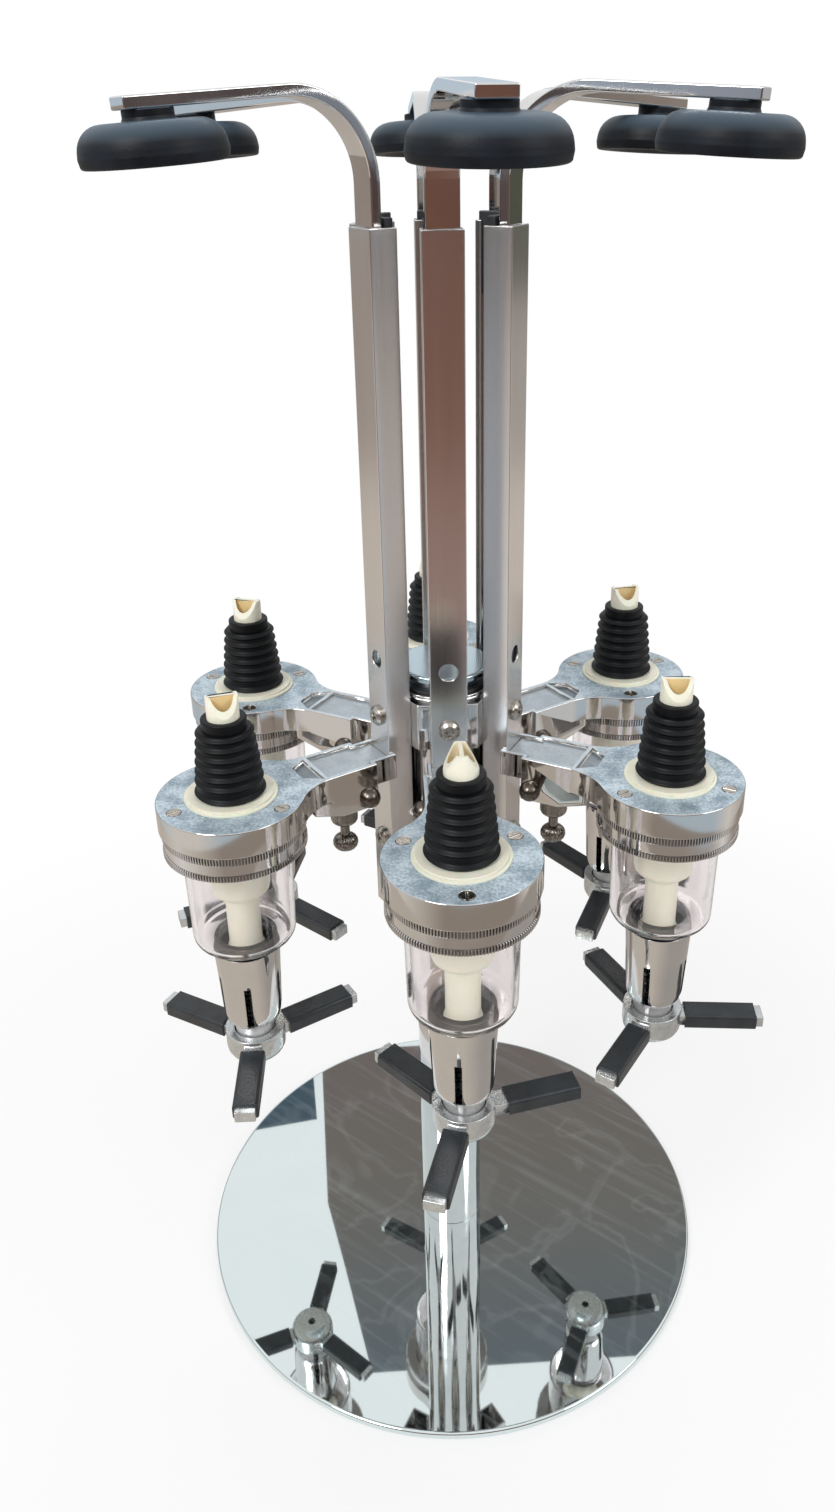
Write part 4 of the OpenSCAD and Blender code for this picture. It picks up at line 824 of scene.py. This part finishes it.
def card(name, mesh, tones, across, hung=False):
    """A glowing card that only mirrors see, its tones along one coordinate. A hung one is clear from above."""
    material, tree, out, place = finish(name + "_paint")
    run = across(tree, place)
    ramp = add(tree, "ShaderNodeValToRGB", {"Fac": run})
    stops = ramp.color_ramp.elements
    for stop, (spot, tone) in enumerate(tones):
        one = stops[stop] if stop < 2 else stops.new(spot)
        one.position = spot
        one.color = linear(tone)
    glow = add(tree, "ShaderNodeEmission", {"Color": ramp.outputs[0], "Strength": 1.0})
    clear_side = add(tree, "ShaderNodeNewGeometry").outputs["Backfacing"] if hung else 0.0
    shown = add(tree, "ShaderNodeMixShader", {0: clear_side, 1: glow.outputs[0],
                                              2: add(tree, "ShaderNodeBsdfTransparent").outputs[0]})
    tree.links.new(shown.outputs[0], out.inputs["Surface"])
    mesh.materials.append(material)
    obj = bpy.data.objects.new(name, mesh)
    scene.collection.objects.link(obj)
    obj.visible_camera = obj.visible_diffuse = obj.visible_shadow = obj.visible_transmission = False
    obj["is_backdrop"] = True


def round_the_pole(tree, place):
    """Share of a turn round the pole: 0 and 1 behind, 0.5 in front, 0.25 on the left."""
    turn = add(tree, "ShaderNodeMapping", {"Vector": place, "Rotation": (0, 0, math.radians(90))})
    return add(tree, "ShaderNodeTexGradient", {"Vector": turn.outputs[0]}, gradient_type="RADIAL").outputs["Fac"]


def towards_the_pole(tree, place):
    """Share of the way from a hung card's far edge to its near one."""
    return ranged(tree, add(tree, "ShaderNodeSeparateXYZ", {0: place}).outputs["Y"], (HUNG_FAR, HUNG_NEAR))


def band(name, rings):
    """A mesh band through rings (radius, height) round the pole."""
    mesh = bpy.data.meshes.new(name)
    spots = [(r * math.cos(a), r * math.sin(a), z) for r, z in rings
             for a in (2 * math.pi * k / CARD_SIDES for k in range(CARD_SIDES))]
    faces = []
    for low in range(0, (len(rings) - 1) * CARD_SIDES, CARD_SIDES):
        for k in range(CARD_SIDES):
            n = (k + 1) % CARD_SIDES
            faces.append((low + k, low + n, low + CARD_SIDES + n, low + CARD_SIDES + k))
    mesh.from_pydata(spots, [], faces)
    return mesh


# a few plain tones, pale at the sides and brown in front
SNOW, SKY, SAND, STONE, STEEL = "#f2ece6", "#c9d8e4", "#d4cabe", "#b3aca5", "#a6aeb9"
TAUPE, CLAY, BROWN, UMBER, MOSS = "#a69a90", "#a3857a", "#7f594b", "#5e5554", "#5a5d51"
for name, edges, tones in (
        ("near_floor_card", [(0.15, 0.001), (0.45, 0.001)],
         [(0.0, STONE), (0.2, SAND), (0.5, SAND), (0.62, STONE), (1.0, STONE)]),
        ("mid_floor_card", [(0.45, 0.001), (0.57, 0.001)],
         [(0.0, STONE), (0.18, SAND), (0.27, SNOW), (0.36, SAND), (0.44, TAUPE), (0.66, TAUPE), (0.73, SNOW),
          (0.8, TAUPE), (1.0, STONE)]),
        ("wide_floor_card", [(0.57, 0.001), (0.75, 0.001)],
         [(0.0, STONE), (0.17, SKY), (0.27, SNOW), (0.36, SNOW), (0.46, SKY), (0.66, SKY), (0.73, SNOW),
          (0.85, STONE), (1.0, STONE)]),
        ("far_floor_card", [(0.75, 0.001), (1.6, 0.001)],
         [(0.0, STONE), (0.17, SAND), (0.27, SNOW), (0.36, SNOW), (0.44, CLAY), (0.56, CLAY), (0.66, SKY),
          (0.73, SNOW), (0.86, SAND), (1.0, STONE)]),
        ("low_wall_card", [(1.6, 0.0), (1.6, 0.3)],
         [(0.0, STONE), (0.17, TAUPE), (0.27, SNOW), (0.36, SAND), (0.46, BROWN), (0.54, BROWN), (0.6, TAUPE),
          (0.66, SKY), (0.73, SNOW), (0.8, STONE), (1.0, STONE)]),
        ("mid_wall_card", [(1.6, 0.3), (1.6, 0.5)],
         [(0.0, STONE), (0.17, TAUPE), (0.35, UMBER), (0.46, BROWN), (0.54, BROWN), (0.6, UMBER), (0.67, UMBER),
          (0.74, TAUPE), (0.8, MOSS), (0.86, MOSS), (1.0, STONE)]),
        ("upper_wall_card", [(1.6, 0.5), (1.6, 0.9)],
         [(0.0, SKY), (0.33, SKY), (0.38, STEEL), (0.5, UMBER), (0.67, UMBER), (0.72, TAUPE), (0.8, STONE),
          (1.0, SKY)])):
    card(name, band(name, edges), tones, round_the_pole)
# two cards hung behind at the level of the measures' tops: of what shows, only the base mirrors them
for name, corners, tones in (
        ("back_card", ((-0.104, 0.439), (0.463, 0.439), (0.28, 0.103), (-0.055, 0.103), (-0.076, 0.192),
                       (-0.092, 0.256)),
         [(0.0, "#7d6f6c"), (0.5, "#7a726d"), (0.74, "#747271"), (1.0, "#6a7076")]),
        ("side_card", ((-0.261, 0.439), (-0.114, 0.439), (-0.105, 0.35), (-0.232, 0.329)),
         [(0.0, "#4f5d69"), (1.0, "#5a6874")])):
    mesh = bpy.data.meshes.new(name)
    mesh.from_pydata([(x, y, HUNG_Z) for x, y in corners], [], [tuple(range(len(corners)))])
    card(name, mesh, tones, towards_the_pole, True)

# Camera: where the photograph was taken from, above the front left, looking down.
IMAGE_H, IMAGE_W, FOCAL_PX, MIDDLE_X, MIDDLE_Y = 1512, 835, 1160.93, 440.42, 677.92
CAMERA_AT, YAW_PITCH_ROLL, SENSOR = (-24.39, -456.99, 532.8), (2.85, -24.89, -0.93), 36
yaw, pitch, roll = (math.radians(a) for a in YAW_PITCH_ROLL)
ahead = Vector((math.sin(yaw) * math.cos(pitch), math.cos(yaw) * math.cos(pitch), math.sin(pitch)))
level = Vector((math.cos(yaw), -math.sin(yaw), 0))
above = level.cross(ahead)
right = math.cos(roll) * level + math.sin(roll) * above
over = math.cos(roll) * above - math.sin(roll) * level
camera = bpy.data.objects.new("camera", bpy.data.cameras.new("camera"))
scene.collection.objects.link(camera)
pose = Matrix((right, over, -ahead)).transposed().to_4x4()
pose.translation = Vector(CAMERA_AT) * MM
camera.matrix_world = pose
camera.data.sensor_fit = "VERTICAL"
camera.data.sensor_height = SENSOR
camera.data.lens = FOCAL_PX / IMAGE_H * SENSOR
camera.data.shift_x = (IMAGE_W / 2 - MIDDLE_X) / IMAGE_H
camera.data.shift_y = (MIDDLE_Y - IMAGE_H / 2) / IMAGE_H
camera.data.clip_start = 0.01
scene.camera = camera

low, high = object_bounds()
